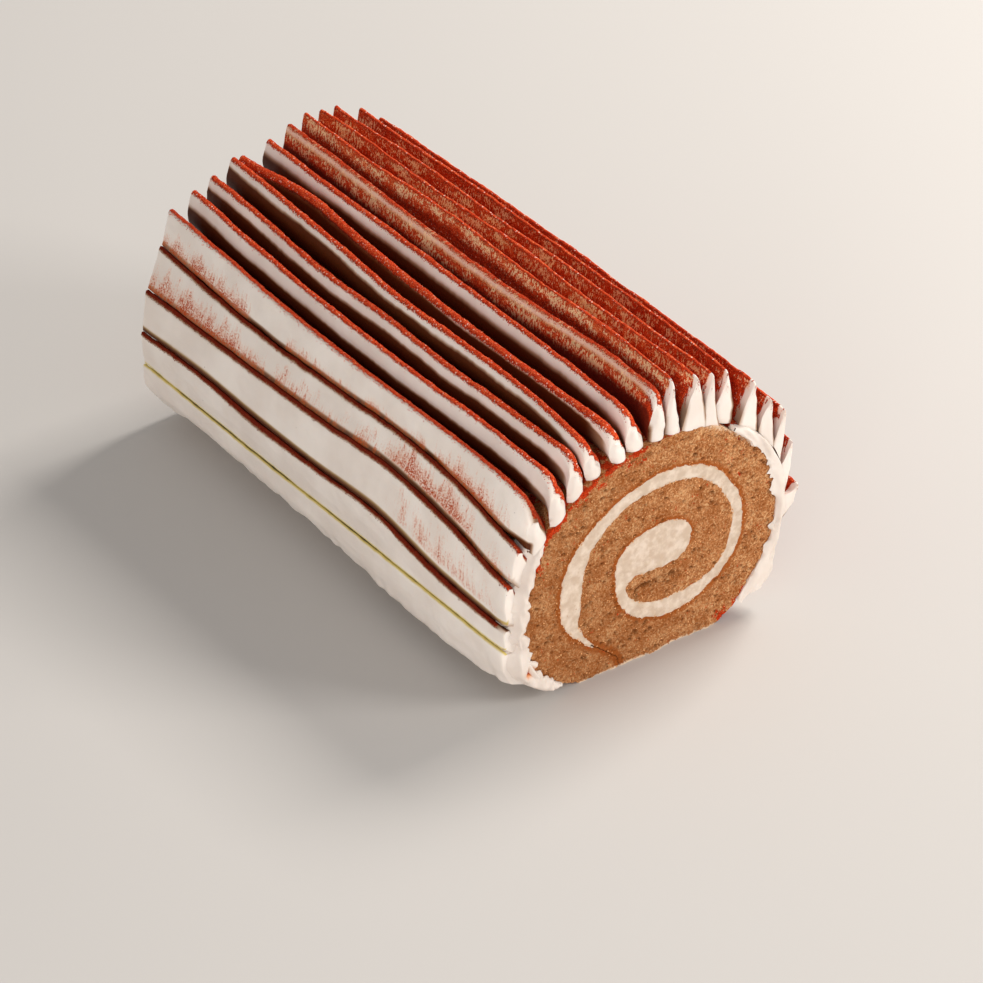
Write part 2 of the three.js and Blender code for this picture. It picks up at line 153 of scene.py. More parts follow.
PIT_STRETCH = (0.75, 1.3)  # pits are drawn out sideways
CRACK_WIDTH = 0.65
CRACK_DEPTH = 0.9
ON_FACE = 0.1  # a point this near to a cut face counts as on it
CURVE_STEPS = 24  # between two given points of a curve
NEARLY_NOTHING = 1e-9
HALF_WORD = 2147483648  # random whole numbers are kept to 32 bits
WORD = 2 * HALF_WORD - 1
SEED_PRIME = 2654435761
AXIS_PRIMES = (73856093, 19349663, 83492791)
MIXING_PRIMES = (739982445, 695872825)
ROW_STEP = 0.866  # between the rows of a grid of triangles, for a spacing of 1
GRID_WANDER = 0.18
GRID_CLEARANCE = 0.55  # the least room between the outline and the grid in it
OUTLINE_PART = 40  # points of an outline that are measured in one go
ONE_POINT = 1e-6  # points nearer than this are one


def smooth(points, closed, spacing):
    """Points evenly spaced on a centripetal Catmull-Rom curve through the given ones."""
    through = np.array(points, float)
    if closed:
        through = np.vstack([through[-1], through, through[:2]])
    else:
        through = np.vstack([2 * through[0] - through[1], through, 2 * through[-1] - through[-2]])
    curve = []
    for a, b, c, d in zip(through, through[1:], through[2:], through[3:]):
        before, here, after = (math.sqrt(np.linalg.norm(q - p)) for p, q in ((a, b), (b, c), (c, d)))
        leaving = ((b - a) / before - (c - a) / (before + here) + (c - b) / here) * here
        arriving = ((c - b) / here - (d - b) / (here + after) + (d - c) / after) * here
        t = np.linspace(0, 1, CURVE_STEPS, endpoint=False)[:, None]
        turned = 2 * (b - c) + leaving + arriving
        curve.append(b + leaving * t + (3 * (c - b) - 2 * leaving - arriving) * t**2 + turned * t**3)
    curve = np.vstack([*curve, through[-2]])
    return evenly(curve, spacing)


def evenly(line, spacing):
    """A line of points drawn again with even steps."""
    line = np.asarray(line, float)
    run = np.concatenate([[0], np.cumsum(np.linalg.norm(np.diff(line, axis=0), axis=1))])
    steps = max(1, round(run[-1] / spacing))
    places = np.linspace(0, run[-1], steps + 1)
    return np.stack([np.interp(places, run, line[:, k]) for k in range(line.shape[1])], axis=1)


def uneven(points, size, seed):
    """Smooth random heights between -1 and 1, about size millimetres from hump to hump."""
    spread = np.asarray(points, float) / size
    cell = np.floor(spread).astype(np.int64)
    part = spread - cell
    part = part * part * (3 - 2 * part)
    total = np.zeros(spread.shape[:-1])
    for corner in np.ndindex(*(2,) * spread.shape[-1]):
        mixed = np.full(total.shape, seed * SEED_PRIME % (WORD + 1), np.int64)
        weight = np.ones(total.shape)
        for axis, (step, prime) in enumerate(zip(corner, AXIS_PRIMES)):
            mixed ^= (cell[..., axis] + step) * prime & WORD
            weight = weight * (part[..., axis] if step else 1 - part[..., axis])
        mixed = (mixed ^ (mixed >> 15)) * MIXING_PRIMES[0] & WORD
        mixed = (mixed ^ (mixed >> 12)) * MIXING_PRIMES[1] & WORD
        total += weight * ((mixed ^ (mixed >> 15)) / HALF_WORD - 1)
    return total


def distance_to(line, points):
    """How far each point is from a line of points."""
    best = np.full(len(points), np.inf)
    for a, b in zip(line[:-1], line[1:]):
        along = b - a
        share = np.clip((points - a) @ along / max(along @ along, NEARLY_NOTHING), 0, 1)
        best = np.minimum(best, np.linalg.norm(points - a - share[:, None] * along, axis=1))
    return best


def ease(low, high, value):
    """0 below low, 1 above high, and smooth between."""
    share = np.clip((value - low) / (high - low), 0, 1)
    return share * share * (3 - 2 * share)


def turn_of(points):
    """The angle of each point of a section round the middle of the roll, from its right side."""
    off = points - ROLL_CENTRE
    return np.degrees(np.arctan2(off[:, 1], off[:, 0]))


def band(start, full, fading, gone, value):
    """1 between full and fading, 0 before start and past gone, and smooth between."""
    return ease(start, full, value) * (1 - ease(fading, gone, value))


def piece(name, points, faces, finish, values=(), flow=None, sharp=50):
    """A closed piece from points in millimetres. values are named numbers on its points, and flow is
    its UV map, along the roll and across the piece."""
    mesh = bpy.data.meshes.new(name)
    placed = (np.asarray(points, float) + (MIDDLE_SHIFT, 0, 0)) * MM
    mesh.from_pydata(placed.tolist(), [], faces)
    mesh.update()
    mesh.calc_loop_triangles()
    thirds = np.zeros(len(mesh.loop_triangles) * 3, np.int32)
    mesh.loop_triangles.foreach_get("vertices", thirds)
    a, b, c = placed[thirds.reshape(-1, 3).T]
    if np.einsum("ij,ij->i", a, np.cross(b, c)).sum() < 0:
        mesh.flip_normals()
    for key, numbers in dict(values).items():
        held = mesh.attributes.new(key, "FLOAT", "POINT")
        held.data.foreach_set("value", np.asarray(numbers, np.float32))
    if flow is not None:
        owners = np.zeros(len(mesh.loops), np.int32)
        mesh.loops.foreach_get("vertex_index", owners)
        mesh.uv_layers.new(name="flow").data.foreach_set("uv", flow[owners].astype(np.float32).ravel())
    mesh.shade_smooth()
    mesh.set_sharp_from_angle(angle=math.radians(sharp))
    mesh.materials.append(finish)
    made = bpy.data.objects.new(name, mesh)
    scene.collection.objects.link(made)
    return made


def within(outline, points):
    """Which points lie inside a closed outline."""
    inside = np.zeros(len(points), bool)
    for (xa, za), (xb, zb) in zip(outline, np.roll(outline, -1, 0)):
        if za != zb:
            crosses = (za > points[:, 1]) != (zb > points[:, 1])
            inside ^= crosses & (points[:, 0] < xa + (xb - xa) * (points[:, 1] - za) / (zb - za))
    return inside


def filled(outline, spacing, seed):
    """Triangles that fill a closed outline, with its own points first and a loose grid inside."""
    rng = np.random.default_rng(seed)
    low = outline.min(0)
    high = outline.max(0)
    xs = np.arange(low[0], high[0], spacing)
    zs = np.arange(low[1], high[1], spacing * ROW_STEP)
    grid = np.stack(np.meshgrid(xs, zs), -1)
    grid[1::2, :, 0] += spacing / 2
    grid = grid.reshape(-1, 2)
    grid = grid + rng.uniform(-GRID_WANDER, GRID_WANDER, grid.shape) * spacing
    grid = grid[within(outline, grid)]
    loop = np.vstack([outline, outline[:1]])
    clear = np.ones(len(grid), bool)
    for start in range(0, len(loop) - 1, OUTLINE_PART):
        part = loop[start:start + OUTLINE_PART + 1]
        near = np.all((grid > part.min(0) - spacing) & (grid < part.max(0) + spacing), axis=1)
        clear[near] &= distance_to(part, grid[near]) > spacing * GRID_CLEARANCE
    every = np.vstack([outline, grid[clear]])
    count = len(outline)
    rim = [(i, (i + 1) % count) for i in range(count)]
    vertices, _, faces, *_ = delaunay_2d_cdt([Vector(p) for p in every], rim, [], 0, ONE_POINT, False)
    assert len(vertices) == len(every)
    thirds = np.array([tuple(face) for face in faces])
    return every, thirds[within(outline, every[thirds].mean(1))].tolist()


def slab(outline, spacing, stations, seed):
    """A closed outline made solid along the roll, its two faces finely divided. Gives the points,
    the faces and how many points each end has."""
    section, thirds = filled(outline, spacing, seed)
    count = len(section)
    rim = len(outline)
    rings = [np.column_stack([section[:, 0], np.full(count, FRONT), section[:, 1]])]
    rings.append(np.column_stack([section[:, 0], np.full(count, FRONT + LENGTH), section[:, 1]]))
    for behind in stations[1:]:
        rings.append(np.column_stack([outline[:, 0], np.full(rim, FRONT + behind), outline[:, 1]]))
    starts = [0, *(2 * count + k * rim for k in range(len(stations) - 1)), count]
    faces = [tuple(face) for face in thirds]
    faces += [tuple(count + k for k in reversed(face)) for face in thirds]
    for near, far in zip(starts, starts[1:]):
        for i in range(rim):
            j = (i + 1) % rim
            faces.append((near + j, near + i, far + i, far + j))
    return np.vstack(rings), faces, count


class Value:
    """One output of a shader node. Arithmetic on it adds Math nodes to its tree."""

    def __init__(self, tree, socket=None):
        self.tree = tree
        self.socket = socket

    def node(self, kind, settings=(), sockets=(), out=0):
        """A node of any kind: its settings, then the values or links of its sockets."""
        made = self.tree.nodes.new(kind)
        for key, setting in dict(settings).items():
            setattr(made, key, setting)
        for key, given in dict(sockets).items():
            if isinstance(given, Value):
                self.tree.links.new(given.socket, made.inputs[key])
            else:
                made.inputs[key].default_value = given
        return Value(self.tree, made.outputs[out])

    def maths(self, operation, *given):
        """A Math node between values or numbers."""
        return self.node("ShaderNodeMath", {"operation": operation}, dict(enumerate(given)))

    def __add__(self, other):
        return self.maths("ADD", self, other)

    __radd__ = __add__

    def __sub__(self, other):
        return self.maths("SUBTRACT", self, other)

    def __rsub__(self, other):
        return self.maths("SUBTRACT", other, self)

    def __mul__(self, other):
        return self.maths("MULTIPLY", self, other)

    __rmul__ = __mul__

    def above(self, low, high):
        """0 below low, 1 above high, and smooth between."""
        settings = {"interpolation_type": "SMOOTHSTEP"}
        sockets = {"Value": self, "From Min": low, "From Max": high}
        return self.node("ShaderNodeMapRange", settings, sockets)

    def colours(self, first, second):
        """The first colour where this is 0 and the second where it is 1."""
        settings = {"data_type": "RGBA", "clamp_factor": True}
        return self.node("ShaderNodeMix", settings, {0: self, 6: first, 7: second}, out=2)


class Finish(Value):
    """A material with one Principled shader, whose patterns are measured in millimetres."""

    def __init__(self, name, **constants):
        self.material = bpy.data.materials.new(name)
        self.material.use_nodes = True
        super().__init__(self.material.node_tree)
        self.shader = self.tree.nodes["Principled BSDF"]
        for key, constant in constants.items():
            self.shader.inputs[key.replace("_", " ")].default_value = constant
        place = self.node("ShaderNodeTexCoord", out=3)
        sockets = {0: place, "Scale": 1 / MM}
        self.millimetres = self.node("ShaderNodeVectorMath", {"operation": "SCALE"}, sockets)

    def named(self, key):
        """A number that the mesh holds on its points."""
        return self.node("ShaderNodeAttribute", {"attribute_name": key}, out=2)

    def noise(self, size, detail=2, rough=0.5, at=None):
        """Random values around 0.5, about size millimetres from patch to patch."""
        sockets = {"Vector": at or self.millimetres, "Scale": 1 / size}
        sockets.update({"Detail": detail, "Roughness": rough})
        return self.node("ShaderNodeTexNoise", {}, sockets)

    def stretched(self, along, across):
        """The piece's own UV map in millimetres, each way divided by a length."""
        flow = self.node("ShaderNodeUVMap", {"uv_map": "flow"})
        sizes = (1 / along, 1 / across, 1)
        return self.node("ShaderNodeVectorMath", {"operation": "MULTIPLY"}, {0: flow, 1: sizes})

    def dots(self, spacing, radius):
        """1 inside small scattered dots."""
        sockets = {"Vector": self.millimetres, "Scale": 1 / spacing}
        away = self.node("ShaderNodeTexVoronoi", {}, sockets)
        return 1 - away.above(radius * 0.7 / spacing, radius / spacing)

    def bump(self, height, millimetres, strength=1.0):
        """Fine relief of that height, added to the shader's normal."""
        sockets = {"Height": height, "Distance": millimetres * MM, "Strength": strength}
        self.set("Normal", self.node("ShaderNodeBump", {}, sockets))

    def set(self, key, value):
        """Gives a pattern to an input of the shader."""
        self.tree.links.new(value.socket, self.shader.inputs[key])


def shade(red, green, blue):
    """A colour given as it looks on a screen, from 0 to 255."""
    channels = (c / 255 for c in (red, green, blue))
    return (*(c / 12.92 if c <= 0.04045 else ((c + 0.055) / 1.055) ** 2.4 for c in channels), 1)


COCOA_DARK = shade(140, 34, 8)
COCOA_RED = shade(212, 64, 20)
COCOA_BRIGHT = shade(240, 146, 88)


def crumb_finish():
    """Open light brown crumb: darker along the baked skin, with painted shade in its pits and towards the
    lower left, and with cocoa and cream where it caught them.
    """
    finish = Finish("sponge_crumb", Roughness=0.92, Specular_IOR_Level=0.1)
    grain = finish.noise(0.4, 3, 0.7)
    cells = finish.node("ShaderNodeTexVoronoi", {}, {"Vector": finish.millimetres, "Scale": 1 / 0.75})
    patches = finish.noise(6, 2)
    tint = (grain * 1.3 + cells * 0.3 + patches * 0.5).above(0.8, 1.34)
    colour = tint.colours(shade(150, 82, 34), shade(214, 150, 98))
    lumps = (finish.noise(0.75, 3, 0.6) + (patches - 0.5) * 0.35).above(0.5, 0.68)
    colour = (lumps * 0.7).colours(colour, shade(236, 190, 138))
    skin = finish.named("skin") + (finish.noise(1.1, 3, 0.65) - 0.5) * 1.1
    colour = (skin.above(0.35, 0.85) * 0.85).colours(colour, shade(166, 84, 28))
    # Painted shade: the crumb darker towards the lower left.
    colour = (finish.named("painted_shade_low_left") * 0.34).colours(colour, shade(130, 72, 30))
    # Painted shade in the pits and the crack, by their depth, and in small dark pores.
    pores = finish.noise(0.8, 3, 0.7).above(0.6, 0.69) * (0.3 + patches * 0.8)
    shaded_pits = finish.named("pit_shade") + pores * 0.9
    colour = (shaded_pits * 0.9).colours(colour, shade(104, 58, 22))
    pale = finish.named("pale") + (finish.noise(0.7, 3, 0.7) - 0.5) * 1.4
    colour = (pale.above(0.35, 0.75) * 0.85).colours(colour, shade(236, 212, 184))
    smear = finish.named("smear") + (finish.noise(1.7, 4, 0.65) - 0.5) * 1.9
    colour = (smear.above(0.78, 0.88) * 0.9).colours(colour, shade(228, 206, 182))
    colour = (finish.dots(3.1, 0.24) * 0.8).colours(colour, shade(196, 74, 34))
    dust = finish.named("dust") + (finish.noise(0.5, 4, 0.7) - 0.5) * 1.5
    dust = dust + (finish.noise(2.6, 2) - 0.5) * 2.2
    cocoa = finish.noise(0.4, 3, 0.7).above(0.32, 0.62).colours(COCOA_DARK, COCOA_RED)
    colour = dust.above(0.48, 0.62).colours(colour, cocoa)
    finish.set("Base Color", colour)
    finish.bump(grain + cells * 0.5 + finish.noise(1.4, 3, 0.7), 0.42, 0.9)
    return finish.material


roll_edge = smooth([(ROLL_BASE[1], 0), *ROLL_EDGE, (ROLL_BASE[0], 0)], False, SPONGE_SPACING)
cream_edge = smooth(CREAM_OUTSIDE + CREAM_INSIDE, True, SPONGE_SPACING)
seam_line = evenly(SEAM, SPONGE_SPACING)
cream_side = cream_edge[::-1][2:-2]
base_right = evenly([(ROLL_BASE[0], 0), (SEAM[0][0] + SEAM_HALF, 0)], SPONGE_SPACING)
base_left = evenly([(SEAM[0][0] - SEAM_HALF, 0), (ROLL_BASE[1], 0)], SPONGE_SPACING)
seam_up = (seam_line + (SEAM_HALF, SEAM_HALF))[1:-1]
seam_down = (seam_line - (SEAM_HALF, SEAM_HALF))[1:-1][::-1]
sponge_outline = np.vstack([roll_edge[:-1], base_right, seam_up, cream_side, seam_down, base_left[:-1]])
sponge_points, sponge_faces, sponge_end = slab(sponge_outline, SPONGE_SPACING, SPONGE_STATIONS, 11)
skin_lines = [smooth(CREAM_OUTSIDE, False, 2.0), evenly(SEAM, 2.0)]
crack_line = np.array(TONGUE_CRACK)
base_line = np.array([(ROLL_BASE[1], 0), (ROLL_BASE[0], 0)])
cream_line = np.vstack([cream_edge[::3], cream_edge[:1]])


def torn(points):
    """How far an edge wanders at each point where crumb and cream were cut and smeared together."""
    ways = [0.4 * uneven(points, 1.7, seed) + 0.25 * uneven(points, 0.8, seed + 5) for seed in (14, 15)]
    return np.stack(ways, 1)


in_section = sponge_points[:, [0, 2]].copy()
flat = in_section[:sponge_end]
turn = turn_of(in_section)
turn = np.where(turn < LOWEST_ANGLE - 30, turn + 360, turn)
to_edge = distance_to(roll_edge[::4], in_section)
to_cream = distance_to(cream_line, in_section)
to_skin = np.minimum(*(distance_to(line, in_section) for line in skin_lines))

# The baked skin follows the cream and the seam, painted shade darkens the crumb low on the left,
# and it is pale along the base and on the upper right rim.
skin = np.exp(-((to_skin / SKIN_WIDTH) ** 2))
smeared = np.exp(-to_cream / 0.8)
painted_shade_low_left = 1 - ease(-20, 62, in_section[:, 1] * 0.7 + in_section[:, 0])
pale = np.exp(-distance_to(base_line, in_section) / 0.55)
pale = pale + 0.62 * np.exp(-to_edge / 2.2) * band(18, 36, 56, 72, turn)

# Cocoa has fallen on the upper rim of the cut faces, on their lower right corner and on the open
# sponge between the ribs.
on_cut = np.abs(sponge_points[:, 1]) > -FRONT - ON_FACE
rim_dust = band(80, 100, 168, 182, turn) * np.exp(-to_edge / 2.8) * 0.9 * on_cut
corner_dust = (1 - ease(-46, -24, turn)) * (turn > -75) * np.exp(-to_edge / 1.8) * 0.8
open_top = 0.5 * band(44, 52, 158, 164, turn) * (~on_cut & (to_edge < 0.6))
sponge_dust = np.clip(rim_dust + corner_dust + open_top, 0, 1)

# Each cut face has a soft relief with small pits and a crack along the tongue, and lies flush with
# the cream beside it.
shaded_pits = np.zeros(len(sponge_points))
for side, start in ((1, 0), (-1, sponge_end)):
    rng = np.random.default_rng(31 + start)
    relief = 0.3 * uneven(flat, 9, 5 + start) + 0.2 * uneven(flat, 2.6, 6 + start)
    relief = relief + 0.2 * uneven(flat, 1.1, 7 + start) + 0.12 * uneven(flat, 0.6, 8 + start)
    pits = flat[rng.integers(0, sponge_end, PITS)]
    radii = SMALLEST_PIT + LARGER_PITS * rng.random(len(pits)) ** 5
    depth = np.zeros(sponge_end)
    for centre, radius in zip(pits, radii):
        stretch = (flat - centre) * PIT_STRETCH
        away = np.hypot(*stretch.T) / radius
        depth = np.maximum(depth, np.where(away < 1, radius * 1.1 * (1 - away**2), 0))
    crack = np.exp(-((distance_to(crack_line, flat) / CRACK_WIDTH) ** 2))
    depth = depth + CRACK_DEPTH * (crack * (0.6 + 0.5 * uneven(flat, 1.6, 8)))
    off_cream = ease(0.4, 1.8, to_cream[:sponge_end])
    sponge_points[start:start + sponge_end, 1] -= side * (relief - depth) * off_cream
    # The depth of each pit and of the crack also paints shade into it.
    shaded_pits[start:start + sponge_end] = np.clip(depth * 1.3, 0, 1)
sponge_points[:, [0, 2]] += torn(sponge_points) * 0.8
sponge_points[:, 2] = np.where(in_section[:, 1] < 0.01, 0, sponge_points[:, 2])
sponge_values = {"skin": skin, "painted_shade_low_left": painted_shade_low_left, "dust": sponge_dust}
sponge_values.update({"pit_shade": shaded_pits, "pale": pale, "smear": smeared})
sponge = piece("cut_sponge", sponge_points, sponge_faces, crumb_finish(), sponge_values)
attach(sponge, "root")
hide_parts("sponge")


# ---------------------------------------------------------------- the filling
# Whipped cream spread on the sheet before it was rolled: a ring once round the roll that ends as
# a pocket over the tongue. The knife has smeared it a little over the crumb, so its edges are
# ragged and carry fine crumbs.
FILLING_STATIONS = [0, 1, 4, 12, 40, 90, 140, 168, 176, 179]
FILLING_SPACING = 0.45
FILLING_OVERLAP = 0.14  # how far it runs into the sponge, so that no gap shows
BLUNTED = [0, 1, 2, -1, -2]  # points left out at the sharp tip, so that its sides don't cross


def drawn_in(outline, distance):
    """A closed outline drawn in by a distance, or let out where that is negative."""
    after = np.roll(outline, -1, 0)
    before = np.roll(outline, 1, 0)
    area = (outline[:, 0] * after[:, 1] - after[:, 0] * outline[:, 1]).sum()
    along = (after - before) / np.linalg.norm(after - before, axis=1)[:, None]
    return outline + distance * math.copysign(1, area) * np.column_stack([-along[:, 1], along[:, 0]])


def filling_finish():
    """Whipped cream, streaked by the knife and mixed with crumb along its edges."""
    finish = Finish("filling_cream", Roughness=0.5, Subsurface_Weight=0.2, Subsurface_Scale=0.002)
    finish.shader.inputs["Subsurface Radius"].default_value = (1.0, 0.8, 0.55)
    streaks = finish.noise(3.2, 3, 0.6)
    colour = streaks.above(0.35, 0.7).colours(shade(202, 179, 157), shade(226, 208, 190))
    smear = finish.named("edge") + (finish.noise(1.7, 4, 0.65) - 0.5) * 1.7
    colour = (smear.above(0.62, 1.0) * 0.45).colours(colour, shade(214, 168, 122))
    colour = (smear.above(0.98, 1.08) * 0.9).colours(colour, shade(186, 112, 54))
    crumbs = finish.noise(0.55, 3, 0.7).above(0.64, 0.7) * finish.noise(4, 2).above(0.4, 0.6)
    colour = (crumbs * 0.8).colours(colour, shade(176, 112, 62))
    finish.set("Base Color", colour)
    finish.bump(finish.noise(0.9, 3, 0.6), 0.25, 0.6)
    return finish.material


filling_outline = drawn_in(cream_edge[:-1], -FILLING_OVERLAP)
tip = np.argmin(np.hypot(*(filling_outline - CREAM_OUTSIDE[0]).T))
filling_outline = np.delete(np.roll(filling_outline, -tip, 0), BLUNTED, 0)
filling_points, filling_faces, filling_end = slab(filling_outline, FILLING_SPACING, FILLING_STATIONS, 12)
flat = filling_points[:filling_end][:, [0, 2]]
edge_near = np.exp(-distance_to(cream_line, filling_points[:, [0, 2]]) / 0.7)
for side, start in ((1, 0), (-1, filling_end)):
    relief = 0.3 * uneven(flat, 6, 21 + start) + 0.2 * uneven(flat, 1.7, 22 + start)
    relief = relief * (1 - ease(0.3, 0.68, edge_near[:filling_end])) + 0.02
    filling_points[start:start + filling_end, 1] -= side * relief
filling_points[:, [0, 2]] += torn(filling_points) * np.where(edge_near > 0.6, 0.8, edge_near)[:, None]
filling = piece("spread_filling", filling_points, filling_faces, filling_finish(), {"edge": edge_near})
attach(filling, "root")
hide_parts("filling")


# ---------------------------------------------------------------- the coats on the flanks
# A thin coat of smooth cream spread on each flank before piping, trimmed flush with the cut faces.
# At the right front the knife left a thick smear low down.
RIGHT_COAT = [
    (47, 1), (40, 2.6), (30, 3.2), (12, 3.2), (-4, 3), (-17, 2.6), (-26, 2.2), (-35, 2.2), (-43, 1),
]
RIGHT_BLOB = {"angle": -31, "spread": 7.5, "thick": 4.5, "length": 8}
LEFT_COAT = [(160.6, 1.1), (200, 1.3), (214, 1.6), (222, 1.9), (227, 0.7)]
GAP = 0.3  # between the sponge and what lies on it
COAT_STEPS = 120
COAT_COLUMNS = 9  # across the thickness of its front end
COAT_MARGIN = 1
COAT_SMEAR = 1.2  # how far the knife drew the cream in over the rim of the cut face
COAT_SHADE = 0.11  # the coats and the smear look a little darker than the piped cream
RIM_LENGTH = 0.3  # over which a coat turns in over the rim
THINNEST = 0.2
ROUGH_LENGTH = 5  # how far behind the face the trimmed end of a coat stays rough

fine_edge = smooth([(ROLL_BASE[1], 0), *ROLL_EDGE, (ROLL_BASE[0], 0)], False, SPONGE_SPACING)
edge_ahead = np.vstack([fine_edge[4:], np.repeat(fine_edge[-1:], 4, 0)])
edge_behind = np.vstack([np.repeat(fine_edge[:1], 4, 0), fine_edge[:-4]])
edge_along = (edge_ahead - edge_behind) / np.linalg.norm(edge_ahead - edge_behind, axis=1)[:, None]
edge_out = np.column_stack([-edge_along[:, 1], edge_along[:, 0]])
edge_turn = turn_of(fine_edge)
edge_turn = np.where(edge_turn < LOWEST_ANGLE, edge_turn + 360, edge_turn)


def edge_at(angle, lift):
    """The roll's edge at an angle round its centre, lifted off the surface."""
    order = edge_turn[::-1]
    at = np.stack([np.interp(angle, order, fine_edge[::-1, k]) for k in (0, 1)], -1)
    out = np.stack([np.interp(angle, order, edge_out[::-1, k]) for k in (0, 1)], -1)
    return at + out * np.asarray(lift)[..., None]


def eased(pairs, value):
    """The value in a list of pairs, eased between them."""
    ordered = sorted(pairs)
    result = np.full(np.shape(value), float(ordered[0][1]))
    for (a, first), (b, second) in zip(ordered, ordered[1:]):
        result = np.where(value > a, first + (second - first) * ease(a, b, value), result)
    return result


def right_coat(angle, behind):
    """How thick the cream lies on the right flank, with the thick smear low at the front."""
    across = (angle - RIGHT_BLOB["angle"]) / RIGHT_BLOB["spread"]
    blob = RIGHT_BLOB["thick"] * np.exp(-(across**2)) * np.exp(-((behind / RIGHT_BLOB["length"]) ** 2))
    return eased(RIGHT_COAT, angle) + blob


def left_coat(angle):
    """How thick the cream lies on the left flank."""
    return eased(LEFT_COAT, angle)


def cream_finish():
    """Smooth satin cream, with cocoa where the mesh says so: ragged at its edges, in grains."""
    satin = {"Subsurface_Weight": 0.12, "Subsurface_Scale": 0.0015, "Specular_IOR_Level": 0.18}
    finish = Finish("piped_cream", **satin)
    finish.shader.inputs["Subsurface Radius"].default_value = (1.0, 0.75, 0.55)
    soft = finish.noise(14, 2)
    cream = soft.above(0.3, 0.7).colours(shade(232, 220, 210), shade(242, 232, 223))
    # Painted shade in the low folds of the shingles, yellow and olive.
    cream = finish.named("painted_fold_shade").above(0.2, 0.9).colours(cream, shade(218, 196, 112))
    cream = (finish.dots(7, 0.17) * 0.8).colours(cream, shade(70, 44, 34))
    painted_shade = finish.named("painted_shade")
    # Painted shade in the grooves and creases: warm grey, then dark brown at the bottom.
    cream = (painted_shade.above(0, 0.5) * 0.9).colours(cream, shade(158, 118, 82))
    cream = painted_shade.above(0.3, 0.85).colours(cream, shade(84, 38, 12))
    dust = finish.named("dust")
    fine = finish.noise(0.42, 4, 0.72)
    clumps = finish.noise(1.7, 3, 0.6)
    cover = (dust + (fine - 0.5) * 1.55 + (clumps - 0.5) * 0.5).above(0.44, 0.6)
    strokes = finish.noise(1, 3, 0.65, finish.stretched(0.9, 7)) * 1.5
    strokes = strokes + finish.noise(1, 2, 0.5, finish.stretched(6, 16)) * 1.4 + fine * 1.3
    wash = finish.named("stroke")
    patch = wash + strokes - 2.02
    stroked = patch.above(0.25, 0.9) * wash.above(0, 0.12)
    stroked = stroked * finish.noise(0.5, 3, 0.7).above(0.4, 0.54)
    golden = finish.named("golden")
    thick = dust.above(0.5, 1.0) * (1 - golden.above(0, 0.1)) * 0.12
    tint = finish.noise(0.36, 3, 0.7) + (clumps - 0.5) * 0.45 + thick + golden * 0.2 - 0.06
    cocoa = tint.above(0.4, 0.56).colours(COCOA_DARK, COCOA_RED)
    cocoa = tint.above(0.62, 0.72).colours(cocoa, COCOA_BRIGHT)
    # Cocoa in the grooves is darkened by the painted shade as well.
    cocoa = (painted_shade.above(0.2, 0.9) * 0.85).colours(cocoa, shade(92, 20, 2))
    film = (dust * 0.5 + golden).above(0.05, 0.75).colours(cream, shade(230, 154, 98))
    film = (golden * 1.2 - 0.5).above(0, 0.6).colours(film, shade(206, 72, 14))
    film = (wash.above(0.2, 0.9) * 0.3).colours(film, shade(214, 172, 146))
    colour = stroked.colours(film, stroked.colours(shade(240, 136, 58), shade(178, 62, 0)))
    colour = cover.colours(colour, cocoa)
    on_edge = dust.above(0.3, 0.55) * (1 - dust.above(0.95, 1.15))
    sugar = finish.dots(1.15, 0.3) * on_edge * (1 - golden.above(0, 0.1)) * (1 - painted_shade.above(0.1, 0.4))
    colour = (sugar * 0.85).colours(colour, shade(250, 214, 196))
    speckle = finish.noise(1, 3, 0.65, finish.stretched(0.75, 1.5)) + (finish.noise(7, 2) - 0.5) * 0.5
    speckle = (speckle + golden * 0.12 - 0.04).above(0.55, 0.61) * golden.above(0.05, 0.4) * (1 - painted_shade)
    colour = (speckle * 0.95).colours(colour, shade(255, 220, 170))
    finish.set("Base Color", colour)
    finish.set("Roughness", cover * 0.4 + 0.5)
    relief = finish.noise(2.4, 2) * 0.5 + cover * fine * 1.1
    finish.bump(relief, 0.3, 0.8)
    return finish.material


def drawn(angles, behinds, large, small, seeds):
    """How far the knife drew a coat in over the rim, uneven round the roll."""
    places = np.dstack([angles, behinds])
    return 0.6 + large * uneven(places, 4, seeds[0]) + small * uneven(places, 1.4, seeds[1])


def shell(outer, inner, y):
    """The rings of a coat, from its outer and inner side at each station along the roll."""
    sides = [np.dstack([side[..., 0], y, side[..., 1]]) for side in (outer, inner)]
    return np.concatenate([sides[0], sides[1][:, ::-1]], axis=1)


